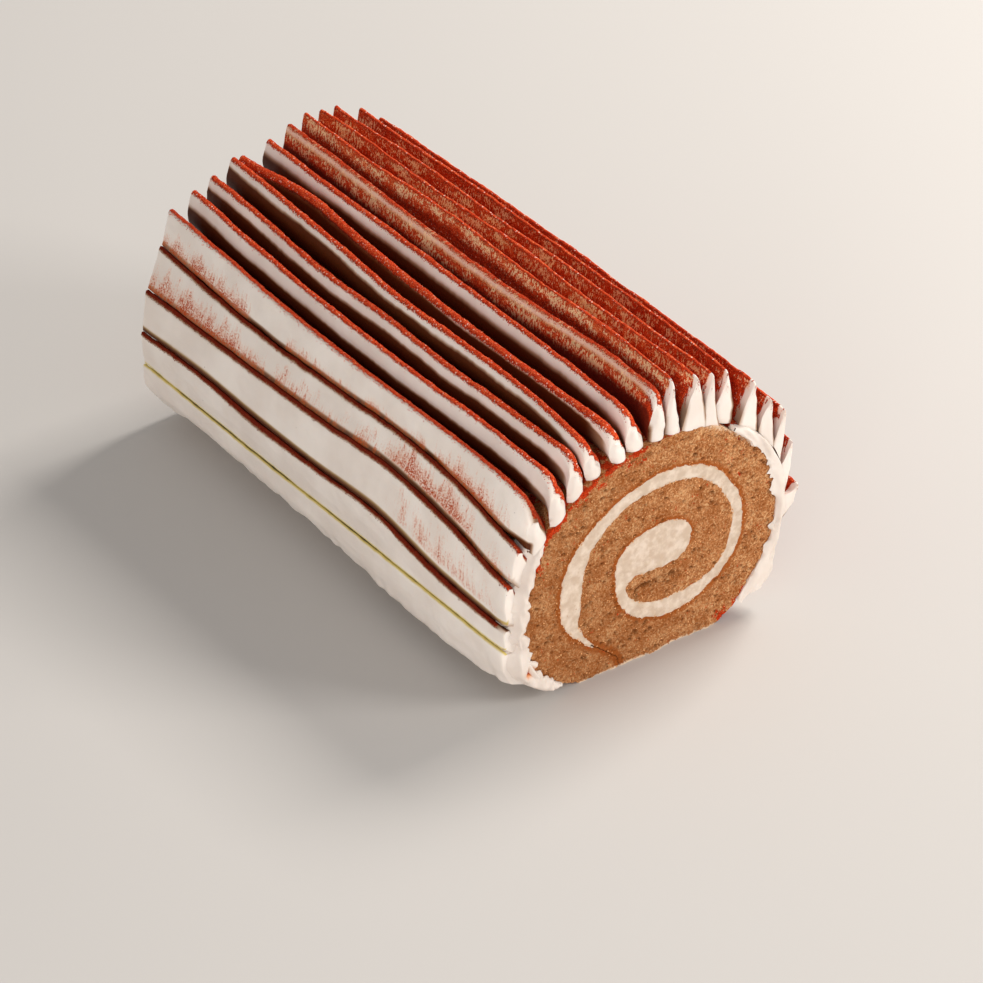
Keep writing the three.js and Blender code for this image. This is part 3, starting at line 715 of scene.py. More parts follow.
def tube(rings, bulge, rough, seed, columns=6):
    """Points and faces of a closed piece swept along the roll, and how many points lie on its sides.
    rings is (stations, around, 3), each ring going up one side and down the other, so that the ends
    close from side to side. The front end bulges forward, and both ends are rough."""
    stations, around, _ = rings.shape
    points = [rings.reshape(-1, 3)]
    faces = []
    for i in range(stations - 1):
        for j in range(around):
            k = (j + 1) % around
            faces.append((i * around + j, i * around + k, (i + 1) * around + k, (i + 1) * around + j))
    total = stations * around
    half = around // 2
    for end, ring, outward_y, swell in ((0, 0, -1, bulge), (1, stations - 1, 1, 0)):
        up = rings[ring, :half]
        down = rings[ring, ::-1][:half]
        shares = np.arange(1, columns) / columns
        inner = up[:, None] + (down - up)[:, None] * shares[None, :, None]
        wide = np.linalg.norm(down - up, axis=1)[:, None]
        rounded = np.sqrt(1 - (2 * shares - 1) ** 2)[None, :]
        forward = np.minimum(swell, wide * 0.4) * rounded
        forward = forward + rough * rounded * uneven(inner[..., [0, 2]], 1.7, seed + end)
        inner[..., 1] += outward_y * forward
        points.append(inner.reshape(-1, 3))

        def at(j, c):
            if c == 0:
                return ring * around + j
            if c == columns:
                return ring * around + around - 1 - j
            return total + j * (columns - 1) + c - 1

        for j in range(half - 1):
            for c in range(columns):
                quad = (at(j, c), at(j, c + 1), at(j + 1, c + 1), at(j + 1, c))
                faces.append(quad if end == 0 else quad[::-1])
        if around % 2:
            last = [at(half - 1, c) for c in range(columns + 1)] + [ring * around + half]
            faces.append(tuple(last) if end == 0 else tuple(reversed(last)))
        total += half * (columns - 1)
    return np.vstack(points), faces, stations * around


cream = cream_finish()
COATS = {
    "right": {"from": -43, "to": 47, "seed": 41},
    "left": {"from": 160.6, "to": 227, "seed": 43},
}
MM_A_DEGREE = 0.16  # wrinkles are this much closer round the roll than across the coat
for side, coat in COATS.items():
    stretches = (np.linspace(0, 4, 17), np.linspace(4.4, 14, 20), np.linspace(16, LENGTH, 83))
    behind = np.concatenate(stretches)
    share = np.linspace(0, 1, COAT_STEPS + 1)
    angle = coat["from"] + (coat["to"] - coat["from"]) * share
    angles, behinds = np.meshgrid(angle, behind)
    thick = right_coat(angles, behinds) if side == "right" else left_coat(angles)
    ends = np.sin(math.pi * np.clip(share, 0.02, 0.98))
    wrinkles = np.dstack([angles * MM_A_DEGREE, behinds])
    near_front = np.exp(-((behinds / ROUGH_LENGTH) ** 2))
    at_rim = np.exp(-behinds / RIM_LENGTH)
    rough = 0.45 * uneven(wrinkles, 1.1, coat["seed"]) + 0.5 * uneven(wrinkles, 3.4, coat["seed"] + 1)
    rough = rough * (0.2 + 0.8 * near_front) * ends
    rough = rough - 0.5 * ease(12, 30, angles) * (angles < 90) * near_front * ends
    outer = edge_at(angles, np.maximum(GAP + thick + rough, GAP + THINNEST))
    smear = np.clip(drawn(angles, behinds, 1.2, 1.1, (coat["seed"] + 2, coat["seed"] + 7)), 0.1, 2.4)
    inner = edge_at(angles, -0.05 - COAT_SMEAR * smear * at_rim * ends)
    rings = shell(outer, inner, FRONT + behinds - 0.25 * at_rim)
    points, faces, on_sides = tube(rings, 0.5, 0.2, coat["seed"] + 3, COAT_COLUMNS)
    from_middle = np.linalg.norm(points[:, [0, 2]] - ROLL_CENTRE, axis=1)
    streaks = np.column_stack([turn_of(points[:, [0, 2]]) * MM_A_DEGREE, from_middle])
    wrinkled = 0.5 * uneven(streaks, 0.9, coat["seed"] + 5) + 0.5 * uneven(streaks, 2.6, coat["seed"] + 6)
    at_front = (np.arange(len(points)) >= on_sides) & (points[:, 1] < 0)
    points[at_front, 1] += wrinkled[at_front] - 0.15

    # Cocoa covers the right coat above its thick smear, and only flecks the left one.
    around = np.concatenate([angles, angles[:, ::-1]], 1).ravel()
    back = np.concatenate([behinds, behinds], 1).ravel()
    if side == "right":
        dust = 0.95 * ease(-14, 4, around) * ease(0.6, 3.2, back)
        dust = dust + 0.2 * ease(3, 9, back) * (around < 0)
    else:
        dust = 0.14 * (1 - ease(6, 12, back))
    dust = np.concatenate([dust, np.full(len(points) - on_sides, 0.08)])
    values = {"dust": dust, "painted_shade": np.full(len(points), COAT_SHADE)}
    made = piece(f"flank_cream_{side}", points, faces, cream, values)
    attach(made, "root")
    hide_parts(f"coat_{side}")


# ---------------------------------------------------------------- the piped ribs
# Twenty-two ribbons of cream piped along the roll with a petal tip, each standing on its foot and
# turning up to a thin free edge. The five lowest on the left lie like shingles, each just over
# the edge of the one below. Cocoa lies on the free edges and thickly over the whole right side.
ENVELOPE = {"x": -0.9, "z": 41.4, "half_width": 52.65, "half_height": 47.7}
TIP_THICKNESS = 1.3
RIBBON_THICKNESS = 2.05  # how thick the free edge of a ribbon is under its cocoa
THICKER_RIBBONS = {8: 2.6}
# How far down a ribbon's face its cocoa reaches, at the front and at the back.
CREST_COCOA = {
    4: (1.0, 1.0), 5: (1.5, 1.7), 6: (1.9, 1.9), 7: (2.0, 1.9), 8: (2.4, 3.4), 9: (1.6, 1.8),
    10: (1.2, 1.3),
}
# How far below a ribbon's free edge the shadow of its groove begins, and where it is full.
GROOVE_SHADOW = {5: (4.8, 6.8), 6: (3.7, 5.7), 7: (2.8, 4.8), 8: (1.9, 3.0), 9: (2.8, 6.6)}
# How far a rib's nose reaches towards the cut face, and how many degrees its foot curls down there.
NOSE_FORWARD = {
    0: 0.4, 1: 0.9, 2: 1.2, 3: 1.4, 4: 1.6, 5: 1.4, 6: 2.4, 7: 2.6, 8: 0.4, 9: 1.4, 10: 0.6,
}
NOSE_LEAN = {4: 4, 5: 6, 6: 5.5, 7: 4, 8: 2, 9: 3.5, 10: 3}
NOSE_LENGTH = 3
TONGUE_LENGTH = 6  # over which the nose of a ribbon is drawn out into a thick tongue
# Shares of a rib's height, width or points that shape its section.
BEND = 0.55
BELLY = 0.65
HEEL = 0.3
FACE_BEND = 0.5
FOOT_FOLLOWS = 0.35
SEAT = 0.012
SWELL = 0.02
CREASE = 1.2  # how far below the free edge of a shingle the next one comes down
WANDER = {"turn": 0.7, "wave": 76, "phase": 1.9}
# How much each dusted rib spreads at its front end, and how many degrees its foot leans there.
FLAMES = [
    (0.3, 1.5), (0.9, 0), (0.5, -1.5), (1.0, 1.5), (0.5, 0), (0.9, -1), (0.4, 1), (0.9, 0), (0.5, 1),
    (0.6, 0), (0.4, 0),
]
# A rib's foot and free edge are angles round the roll, or a list of them along it. Its free edge
# turns up at an angle, and its nose stays back from the cut face, is rounded over a length and
# starts as a stump, a share of the full height. A heel is where a shingle starts on its coat.
KEYS = ("foot", "wide", "reach", "up", "back", "round", "stump", "edge", "heel")
RIBS = [dict(zip(KEYS, row)) for row in (
    (213.5, 13.2, 1.055, 92, 2.3, 6, 0.85, [205, 204.5, 204, 204.5, 205, 204.5, 204],
     (217.4, [1.15, 1.182, 1.162, 1.136, 1.12, 1.12, 1.12])),
    (194.5, 8.4, 0.988, 93, 2.3, 6, 0.82, [196.8, 194.5, 187.8, 189.5, 189.9, 188.8, 190.8], "lapped"),
    (181.5, 9, 0.94, 82, 2.3, 6, 0.8, [178, 171.3, 168.3, 170.4, 171.6, 172.4, 173.1], "lapped"),
    (166.6, 9, 0.925, 72, 2.3, 7, 0.75, [162.6, 157.2, 155.4, 156.7, 157.8, 157, 154.9], "lapped"),
    (152.6, 8, 0.985, 78, 3, 10, 0.45, [144.9, 143.6, 143.9, 144.2, 143.6, 142.1, 140.9], "lapped"),
    (138, 5.8, 0.93, 76, 2.8, 9, 0.4, [135, 134.3, 135, 135, 134.4, 133, 130.8]),
    (127.5, 5.6, 0.895, 76, 4.6, 9, 0.4, [124.8, 125.2, 125.9, 125.2, 125.7, 123.5, 122.4]),
    (116.5, 4.8, 0.905, 76, 5.2, 9, 0.35, [118.9, 116.4, 116.2, 116.8, 114.9, 113.2, 112.1]),
    (107, 4, 0.865, 80, 2, 9, 0.4, [108.4, 108.9, 109.2, 108.6, 107, 105, 108.9]),
    (95, 5.2, 0.88, 78, 3.6, 9, 0.4, [99.5, 97.8, 97.3, 96.9, 96.6, 96.8, 96.1]),
    (85.5, 4.8, 0.935, 82, 2.6, 7, 0.6, [87.2, 86.4, 88.6, 89.1, 88.4, 87.4, 87.2]),
    (77, 4.2, 0.995, 86, 2.2, 2.5, 0.85, 81.5),
    (68.5, 5, 1.005, 88, 0.5, 1, 1, 74.6),
    (60.5, 4.2, 1.02, 84, 0.6, 1, 0.97, 68),
    (51.5, 5, 1.026, 88, 2.6, 2, 0.8, 58.5),
    (38.5, 5.4, 1.02, 82, 1, 1, 0.96, 48.2),
    (27.5, 5, 1.0, 82, 0.6, 1, 1, 37.4),
    (17, 5, 1.02, 84, 0.4, 1, 1, 28),
    (6, 4.8, 0.99, 84, 0.4, 1, 1, 13.8),
    (-6.5, 5, 1.025, 66, 0.4, 1, 0.97, -4.7),
    (-18.5, 4.6, 1.02, 48, 3, 5, 0.5, -18.5),
    (-29.5, 4.6, 1.045, 24, 10, 6, 0.5, -32),
)]
FIRST_RIBBON = 4  # from this rib on, the free edges stand clear of the next rib
FIRST_DUSTED = 10  # from this rib on, the faces are dusted too
NOSE_STATIONS = 34  # in the first millimetres, and then evenly to the back
NOSE_STRETCH = 10
BODY_STATIONS = 236
SIDE_POINTS = 15
FACE_POINTS = 20  # on the face of a shingle, above its heel
HEEL_POINT = 3
EDGE_TURNS = (35, 0, -35)  # the three points that round a free edge
EDGE_ROUNDING = 0.52
SURFACE_HEIGHTS = (0.16, 0.06)  # of the long and the short waves the piping tip left
# Painted yellow and olive shade in the low folds: how far from a shingle's heel, and how wide.
FOLD_SHADE_BANDS = {1: (0, 0.6), 2: (1, 0.8)}
FOLD_SHADE_EDGE = 0.7  # and how wide along the free edge of the lowest
# Cocoa lies wider along the free edge of the second shingle in two stretches behind the front.
EDGE_WIDTHS = {0: [0.0] * 7, 1: [1.5, 2.0, 1.1, 1.1, 2.2, 1.2, 1.1], 2: [1.5] * 7, 3: [1.4] * 7}
# Brushed-on cocoa on the broad faces: rib, from and to behind the front, from and to as a share
# of the face above its heel, and how dense.
STROKES = [
    (2, 6, 58, 0.2, 0.8, 0.42), (3, 20, 66, 0.16, 0.9, 0.85), (3, 0, 24, 0, 0.7, 0.4),
    (3, 60, 135, 0, 0.62, 0.5), (3, 122, 190, 0, 0.7, 0.85), (4, 8, 44, 0, 0.6, 0.75),
    (4, 44, 120, 0, 0.34, 0.6), (4, 132, 190, 0, 0.55, 0.8),
]


def along_length(values, behind):
    """A value that changes along the roll, from a list spread evenly from the front to the back."""
    last = len(values) - 1
    t = np.clip(behind / LENGTH * last, 0, last)
    i = np.minimum(t.astype(int), last - 1)
    numbers = np.array(values, float)
    a, b, c, d = (numbers[np.clip(i + k, 0, last)] for k in (-1, 0, 1, 2))
    f = t - i
    square = (2 * a - 5 * b + 4 * c - d) * f**2
    return 0.5 * (2 * b + (c - a) * f + square + (3 * b - a - 3 * c + d) * f**3)


def edge_angle(rib, index, behind):
    """The angle of a rib's free edge along the roll."""
    if isinstance(rib["edge"], list):
        return along_length(rib["edge"], behind)
    wave = np.sin(2 * math.pi * behind / WANDER["wave"] + index * WANDER["phase"])
    return rib["edge"] + WANDER["turn"] * wave


def on_envelope(angle, reach):
    """A point at an angle on the oval round the whole cake, or a share of the way out to it."""
    angle = np.radians(angle)
    return np.stack([ENVELOPE["x"] + reach * ENVELOPE["half_width"] * np.cos(angle),
                     ENVELOPE["z"] + reach * ENVELOPE["half_height"] * np.sin(angle)], -1)


def free_edge(rib, index, behind):
    """The line of a rib's free edge in the section at each place along the roll."""
    swell = 0 if isinstance(rib["edge"], list) else SWELL * np.sin(math.pi * behind / LENGTH)
    return on_envelope(edge_angle(rib, index, behind), rib["reach"] + swell)


def moved(points, direction, distance):
    """Points of a section moved by a distance in a direction, given in degrees."""
    turned = np.array((math.cos(math.radians(direction)), math.sin(math.radians(direction))))
    return points + np.asarray(distance)[..., None] * turned


def rib_sides(rib, index, behind, up):
    """The left and right side of a rib at each station, as (stations, up, 2), its free edge and how
    thick it is there."""
    mean = np.mean(rib["edge"])
    nose = np.exp(-(behind - rib["back"]) / NOSE_LENGTH)
    tongue = nose * 0
    if FIRST_RIBBON <= index <= FIRST_DUSTED:
        tongue = np.exp(-(((behind - rib["back"]) / TONGUE_LENGTH) ** 2))
    middle = rib["foot"] + FOOT_FOLLOWS * (edge_angle(rib, index, behind) - mean)
    middle = middle + NOSE_LEAN.get(index, 0) * nose
    radius = np.linalg.norm(edge_at(middle, np.zeros(len(behind))) - ROLL_CENTRE, axis=1)
    if index < FIRST_RIBBON:
        wide = rib["wide"] * np.ones(len(behind))
        thick = TIP_THICKNESS + nose
    elif index <= FIRST_DUSTED:
        wide = rib["wide"] * (1 + 0.1 * tongue)
        thick = THICKER_RIBBONS.get(index, RIBBON_THICKNESS) + 1.2 * tongue
    else:
        spread, lean = FLAMES[index - FIRST_DUSTED - 1]
        wide = rib["wide"] * (1 + spread * nose)
        middle = middle + lean * nose
        thick = TIP_THICKNESS * (1 - 0.7 * nose)

    def on_foot(side):
        angle = middle - np.degrees(side * wide / 2 / radius)
        lift = np.zeros(len(behind))
        lift = np.where(angle > LEFT_COAT[0][0] - COAT_MARGIN, GAP + left_coat(angle), lift)
        lift = np.where(angle < RIGHT_COAT[0][0], GAP + right_coat(angle, behind), lift)
        return edge_at(angle, lift + SEAT * rib["wide"])

    left, foot, right = (on_foot(side) for side in (-1, 0, 1))
    risen = np.clip(1 - (behind - rib["back"]) / rib["round"], 0, 1)
    rise = (rib["stump"] + (1 - rib["stump"]) * np.sqrt(1 - risen**2))[:, None]
    tip = foot + (free_edge(rib, index, behind) - foot) * rise
    lengthways = np.column_stack([behind, behind * 0])
    ragged = 0.13 * uneven(lengthways, 5.5, 60 + index) + 0.12 * uneven(lengthways, 1.4, 90 + index)
    tip = moved(tip, rib["up"], ragged * rise[:, 0])
    bend = moved(tip, rib["up"], -BEND * np.linalg.norm(tip - foot, axis=1))
    left_tip = moved(tip, rib["up"] + 90, thick / 2)
    right_tip = moved(tip, rib["up"] - 90, thick / 2)

    def curve(start, by, end, share):
        t = share[None, :, None]
        start, by, end = start[:, None], by[:, None], end[:, None]
        return (1 - t) ** 3 * start + 3 * t * (1 - t) * by + t**3 * end

    def bent(start, end, out):
        across = left - right
        full = (start + end) / 2 + 0.9 * out * across / np.linalg.norm(across, axis=1)[:, None]
        return full * tongue[:, None] + (bend + BELLY * (start - foot)) * (1 - tongue[:, None])

    if not rib.get("heel"):
        return (curve(left, bent(left, left_tip, 1), left_tip, up),
                curve(right, bent(right, right_tip, -1), right_tip, up), tip, thick)
    if rib["heel"] == "lapped":
        below = RIBS[index - 1]
        over = moved(free_edge(below, index - 1, behind), below["up"], np.full(len(behind), CREASE))
    else:
        ragged = 0.007 * uneven(lengthways, 9, 57) + 0.006 * uneven(lengthways, 2.6, 58)
        over = on_envelope(rib["heel"][0], along_length(rib["heel"][1], behind) + ragged)
    heel = foot + (over - foot) * rise
    face_bend = moved(left_tip, rib["up"], -FACE_BEND * np.linalg.norm(left_tip - heel, axis=1))
    under = np.clip(up / HEEL, 0, 1)[None, :, None]
    lower = left[:, None] + (heel - left)[:, None] * under
    upper = curve(heel, face_bend, left_tip, np.clip((up - HEEL) / (1 - HEEL), 0, 1))
    side = np.where((up < HEEL)[None, :, None], lower, upper)
    straight = right[:, None] + (right_tip - right)[:, None] * up[None, :, None]
    return side, straight, tip, thick


def outward(rings):
    """The direction out of the surface at each point of a swept piece."""
    along = np.gradient(rings, axis=0)
    round_it = np.roll(rings, -1, 1) - np.roll(rings, 1, 1)
    out = np.cross(round_it, along)
    return out / np.maximum(np.linalg.norm(out, axis=-1, keepdims=True), NEARLY_NOTHING)


def rib_dust(index, behind, from_tip, share, side):
    """How thick the cocoa lies on a rib: 0 is bare and 1 is covered."""
    start = RIBS[index]["back"]
    nose = ease(-0.1, 0.25, behind - start)
    if index < FIRST_RIBBON:
        width = along_length(EDGE_WIDTHS[index], behind)
        ends = ease(3, 6, behind) if index == 1 else 1
        line = np.clip(1.3 - from_tip / np.maximum(width, 0.01), 0, 1) * (width > 0) * ends
        return np.where(side == "left", line, 0.9 * (width > 0) * ends)
    near, far = CREST_COCOA.get(index, (1, 1))
    width = (near + (far - near) * ease(60, 150, behind)) * (0.4 + 0.6 * ease(0, 4, behind - start))
    line = np.clip(1.35 - from_tip / width, 0, 1.35 if index < FIRST_DUSTED else 1)
    if index < FIRST_DUSTED:
        behind_it = 0.8 + 0.2 * np.exp(-from_tip / 3)
        flecks = 0.26 * np.exp(-(behind - start) / 5)
        return np.where(side == "left", np.maximum(line, flecks), behind_it) * nose
    if index == FIRST_DUSTED:
        face = 0.24 + 0.66 * ease(1.8, 5.4, from_tip)
        return np.where(side == "left", np.maximum(face, line * 0.8), 0.95) * nose
    pale = 0.14 * np.exp(-((from_tip - 1.3) / 1.1) ** 2) * (index < 15)
    face = 0.66 + 0.03 * (index - FIRST_DUSTED) + 0.25 * (1 - share) - pale
    reach = behind - start + 1.4 * uneven(np.stack([behind * 3, from_tip], -1), 1.6, 70 + index)
    white = ease(0.3 + 2.2 * (1 - share), 2.4 + 3 * (1 - share), reach)
    return np.where(side == "left", np.maximum(face, line * 0.9), 0.97) * white


def rib_golden(index, behind, from_tip, share):
    """How golden the cream looks through thin cocoa."""
    start = RIBS[index]["back"]
    if index < FIRST_DUSTED:
        return np.zeros(from_tip.shape)
    if index == FIRST_DUSTED:
        return (0.25 + 0.5 * ease(2, 5, from_tip) - 0.6 * ease(5, 9, from_tip)) * ease(1, 8, behind - start)
    white = ease(3 * (1 - share), 2.6 + 6 * (1 - share), behind - start)
    zone = np.exp(-((from_tip - 2) / 2.6) ** 2) * ease(0.3, 1.6, from_tip)
    return white * zone * max(0.35, 1 - 0.12 * (index - 11))


def rib_painted_shade(index, behind, from_tip, from_heel, side):
    """How much painted shade a place on a rib gets from how far into the groove beside it it lies: 0 is open
    and 1 is at the bottom.
    """
    if index == 0:
        return np.zeros(from_tip.shape)
    if index <= FIRST_RIBBON:
        wide = 2.4 if index == 2 else 1.8
        crease = np.where(from_heel < 4, 0.95 * (1 - ease(0.1, wide, from_heel)), 0) * (index > 1)
        if index < FIRST_RIBBON:
            line = 1.5 - from_tip / along_length(EDGE_WIDTHS[index], behind)
            crease = np.maximum(crease, 0.9 * np.clip(line, 0, 1))
            crease = crease * (0.35 + 0.65 * ease(0.5, 6, behind - RIBS[index]["back"]))
        else:
            crease = np.maximum(crease, 0.26 * np.clip(2 - from_tip, 0, 1))
        return np.where(side == "left", crease, 0.9 if index < FIRST_RIBBON else 0.6)
    if index == FIRST_DUSTED:
        return np.where(side == "left", 0.95 * ease(4.6, 8.2, from_tip), 0.6 * ease(1, 8, from_tip))
    if index > FIRST_DUSTED:
        return np.where(side == "left", 0.4 * ease(5, 11, from_tip), 0.6 * ease(1, 8, from_tip))
    begins, full = GROOVE_SHADOW[index]
    wave = 0.4 * uneven(np.stack([behind, behind * 0], -1), 14, 190 + index)
    from_nose = behind - RIBS[index]["back"]
    shadow = ease(begins, full, from_tip + wave - 2.4 * (1 - ease(0, 12, from_nose)))
    shadow = shadow * (0.5 + 0.5 * ease(2, 15, from_nose))
    return np.where(side == "left", shadow, 0.2 + 0.7 * ease(1, 7, from_tip)) * ease(-0.5, 4, from_nose)


dusted = []
for index, rib in enumerate(RIBS):
    rib["back"] = rib["back"] - NOSE_FORWARD.get(index, 0)
    lapped = bool(rib.get("heel"))
    behind = np.concatenate([
        rib["back"] + NOSE_STRETCH * np.linspace(0, 1, NOSE_STATIONS)[:-1] ** 1.8,
        np.linspace(rib["back"] + NOSE_STRETCH, LENGTH, BODY_STATIONS),
    ])
    if lapped:
        up = np.concatenate([[0, HEEL / 2, HEEL - 0.01], np.linspace(HEEL, 1, FACE_POINTS)])
    else:
        up = 1 - (1 - np.linspace(0, 1, SIDE_POINTS)) ** 1.35
    left, right, tip, thick = rib_sides(rib, index, behind, up)
    arc = [moved(tip, rib["up"] + turned, thick * EDGE_ROUNDING) for turned in EDGE_TURNS]
    section = np.concatenate([left, np.stack(arc, 1), right[:, ::-1]], axis=1)
    behinds = np.repeat(behind[:, None], section.shape[1], 1)
    rings = np.dstack([section[..., 0], FRONT + behinds, section[..., 1]])
    height = SURFACE_HEIGHTS[0] * uneven(rings * (1, 0.25, 1), 2.4, 100 + index)
    height = height + SURFACE_HEIGHTS[1] * uneven(rings, 1.6, 130 + index)
    rings = rings + outward(rings) * height[..., None] * (1 if index <= FIRST_DUSTED else 1.3)
    rings[..., 1] = np.clip(rings[..., 1], FRONT + rib["back"] - 0.2, -FRONT)
    bulge = 0.3 if index < FIRST_RIBBON else 1.8 if index <= FIRST_DUSTED + 1 else 0.4
    points, faces, on_sides = tube(rings, bulge, 0.25, 160 + index)

    # What the cream shows depends on how far along the section a place is from the free edge and
    # from the heel.
    step = np.linalg.norm(np.diff(section, axis=1), axis=2)
    run = np.concatenate([np.zeros((len(behind), 1)), np.cumsum(step, 1)], 1)
    crest = run[:, [len(up) + 1]]
    from_tip = np.abs(run - crest)
    side = np.array(["left"] * (len(up) + 1) + ["right"] * (len(up) + 2))[None, :]
    heel_run = run[:, [HEEL_POINT]] if lapped else run[:, [0]]
    share = np.clip((run - heel_run) / (crest - heel_run), 0, 1)
    dust = rib_dust(index, behinds, from_tip, share, side)
    golden = rib_golden(index, behinds, from_tip, share)
    painted_shade = rib_painted_shade(index, behinds, from_tip, run - heel_run, side)
    stroke = np.zeros(run.shape)
    for which, near, far, low, high, density in STROKES:
        if which == index:
            along = band(near - 6, near + 8, far - 10, far + 4, behinds)
            falls = np.clip((high + 0.1 - share) / (high + 0.1 - low), 0, 1)
            across = ease(low - 0.12, low + 0.04, share) * falls
            stroke = np.maximum(stroke, density * along * across * (side == "left"))
    # Painted yellow and olive shade in the low folds.
    painted_fold_shade = np.zeros(run.shape)
    if index == 0:
        painted_fold_shade = np.exp(-((from_tip / FOLD_SHADE_EDGE) ** 2))
    if index in FOLD_SHADE_BANDS:
        away, width = FOLD_SHADE_BANDS[index]
        painted_fold_shade = np.exp(-(((run - heel_run - away) / width) ** 2)) * (run >= heel_run)

    # The rounded ends carry little cocoa.
    extra = len(points) - on_sides
    half = section.shape[1] // 2
    upwards = np.repeat(np.linspace(0, 1, half), extra // 2 // half)
    ends = np.full(extra, 0.12)
    ends[:extra // 2] = 0.14 + 0.34 * ease(0.5, 1, upwards) * (index > FIRST_DUSTED)
    flow = np.column_stack([np.concatenate([sides.ravel(), ends]) for sides in (behinds, from_tip)])
    values = {"dust": np.concatenate([dust.ravel(), ends])}
    for key, sides in (("painted_shade", painted_shade), ("golden", golden), ("stroke", stroke), ("painted_fold_shade", painted_fold_shade)):
        values[key] = np.concatenate([sides.ravel(), ends * 0])
    made = piece(f"cream_rib_{index + 1:02d}", points, faces, cream, values, flow, 60)
    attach(made, "root")
    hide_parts(f"piped_rib_{index + 1:02d}")
    "cream" if index < 11 else "dusted_cream"

    # Where grains of cocoa lie on it.
    if 0 < index < FIRST_RIBBON:
        dusted.append((index, rings, dust * (side == "left")))
    if index >= FIRST_RIBBON:
        lying = np.clip(1.5 - from_tip / 1.2, 0, 1) * ease(0.5, 3, behinds - rib["back"])
        if index > FIRST_DUSTED:
            lying = np.clip(dust * 1.1 - 0.1, 0, 1) * (side == "left")
        dusted.append((index, rings, lying))


# ---------------------------------------------------------------- the smear at the left front
# Where the knife finished its cut it drew the coat and the ends of the low ribs up into one
# wrinkled smear of cream, broad at the bottom, that runs out a few millimetres behind the face.
SMEAR_ENDS = (155.5, 226)
SMEAR_STEPS = 150
SMEAR_LENGTH = (2.8, 5.6)  # beside the upper ribs, and low down
SMEAR_PIT = (-43.3, 12)  # where the knife tore crumbs into the cream
SMEAR_COLUMNS = 14
SMEAR_DEPTH = 1.2  # how far its thin end runs in under the surface of the ribs
LIP = (196, 208, 5.9)  # from which angle to which it swells into the lip, and how far out
LOWEST_RISE = (216, 6.2)  # beyond this angle the ribs are taken to stand out no further
EVENED_OVER = 10  # steps round the roll over which the knife evened out the ribs
PIT_SIZE = 1.5


def shingled(angle, behind):
    """How far the low ribs stand out from the roll's edge at each angle."""
    best = np.zeros(angle.shape)
    up = np.concatenate([[0], np.linspace(HEEL, 1, 30)])
    for index in range(FIRST_RIBBON + 1):
        side, *_ = rib_sides(RIBS[index], index, np.array([behind]), up)
        turn = turn_of(side[0, 1:]) % 360
        edge = edge_at(turn, np.zeros(len(turn)))
        rise = np.linalg.norm(side[0, 1:] - ROLL_CENTRE, axis=1) - np.linalg.norm(edge - ROLL_CENTRE, axis=1)
        order = np.argsort(turn)
        best = np.maximum(best, np.interp(angle, turn[order], rise[order], left=0, right=0))
    return best


angle = np.linspace(*SMEAR_ENDS, SMEAR_STEPS + 1)
kernel = np.exp(-np.linspace(-2, 2, 2 * EVENED_OVER + 1) ** 2)
behind = np.concatenate([np.linspace(0, 2, 8), np.linspace(2.3, SMEAR_LENGTH[1] + 1, 20)])
angles, behinds = np.meshgrid(angle, behind)
stands = np.array([shingled(angle, max(place, RIBS[0]["back"] + 0.3)) for place in behind])
stands = np.where(angles > LOWEST_RISE[0], np.minimum(stands, LOWEST_RISE[1]), stands)
stands = np.maximum(stands, LIP[2] * ease(LIP[0], LIP[1], angles))
padded = np.pad(stands, ((0, 0), (EVENED_OVER, EVENED_OVER)), "edge")
evened = np.array([np.convolve(row, kernel / kernel.sum(), "valid") for row in padded])
at_face = 1.5 + 3.4 * ease(194, 209, angles)
reaches = SMEAR_LENGTH[0] + (SMEAR_LENGTH[1] - SMEAR_LENGTH[0]) * ease(194, 208, angles)
share = np.clip((angle - SMEAR_ENDS[0]) / (SMEAR_ENDS[1] - SMEAR_ENDS[0]), 0, 1)
ends = np.sin(math.pi * share) ** 0.25
wrinkles = np.dstack([angles * 0.85, behinds])
rough = 0.2 * uneven(wrinkles * (0.5, 1), 1.2, 301) + 0.4 * uneven(wrinkles * (0.8, 1), 3.6, 302)
ragged = behinds + 1.3 * uneven(wrinkles * (1, 0), 3, 303) + 0.8 * uneven(wrinkles * (1, 0), 1.1, 304)
over = at_face + (evened + 0.05 - at_face) * ease(-0.8, 3, behinds) + rough
under = stands - SMEAR_DEPTH
lift = over + (under - over) * ease(reaches * 0.4, reaches, ragged)
outer = edge_at(angles, np.maximum(lift * ends, 0.3))
outer[..., 1] = np.maximum(outer[..., 1], 0.05)
smear = np.clip(drawn(angles, behinds, 0.8, 0.7, (305, 306)), 0, 2.2)
at_rim = np.exp(-behinds / RIM_LENGTH)
inner = edge_at(angles, 0.1 - COAT_SMEAR * smear * at_rim * ends)
rings = shell(outer, inner, FRONT + behinds - 0.45 * at_rim)
points, faces, _ = tube(rings, 0.9, 0.3, 307, SMEAR_COLUMNS)
at_front = points[:, 1] < FRONT + 1.5
flat = points[:, [0, 2]]
pit = np.exp(-((np.hypot(*(flat - SMEAR_PIT).T) / PIT_SIZE) ** 2)) * at_front
wrinkled = 0.3 * uneven(flat * (1.3, 0.4), 0.9, 308) + 0.55 * uneven(flat * (1.3, 0.6), 2.8, 309)
points[:, 1] += wrinkled * at_front + PIT_SIZE * pit
values = {"dust": 0.12 + 0.5 * pit, "golden": pit, "painted_shade": np.full(len(points), COAT_SHADE)}
made = piece("drawn_up_cream", points, faces, cream, values)
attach(made, "root")


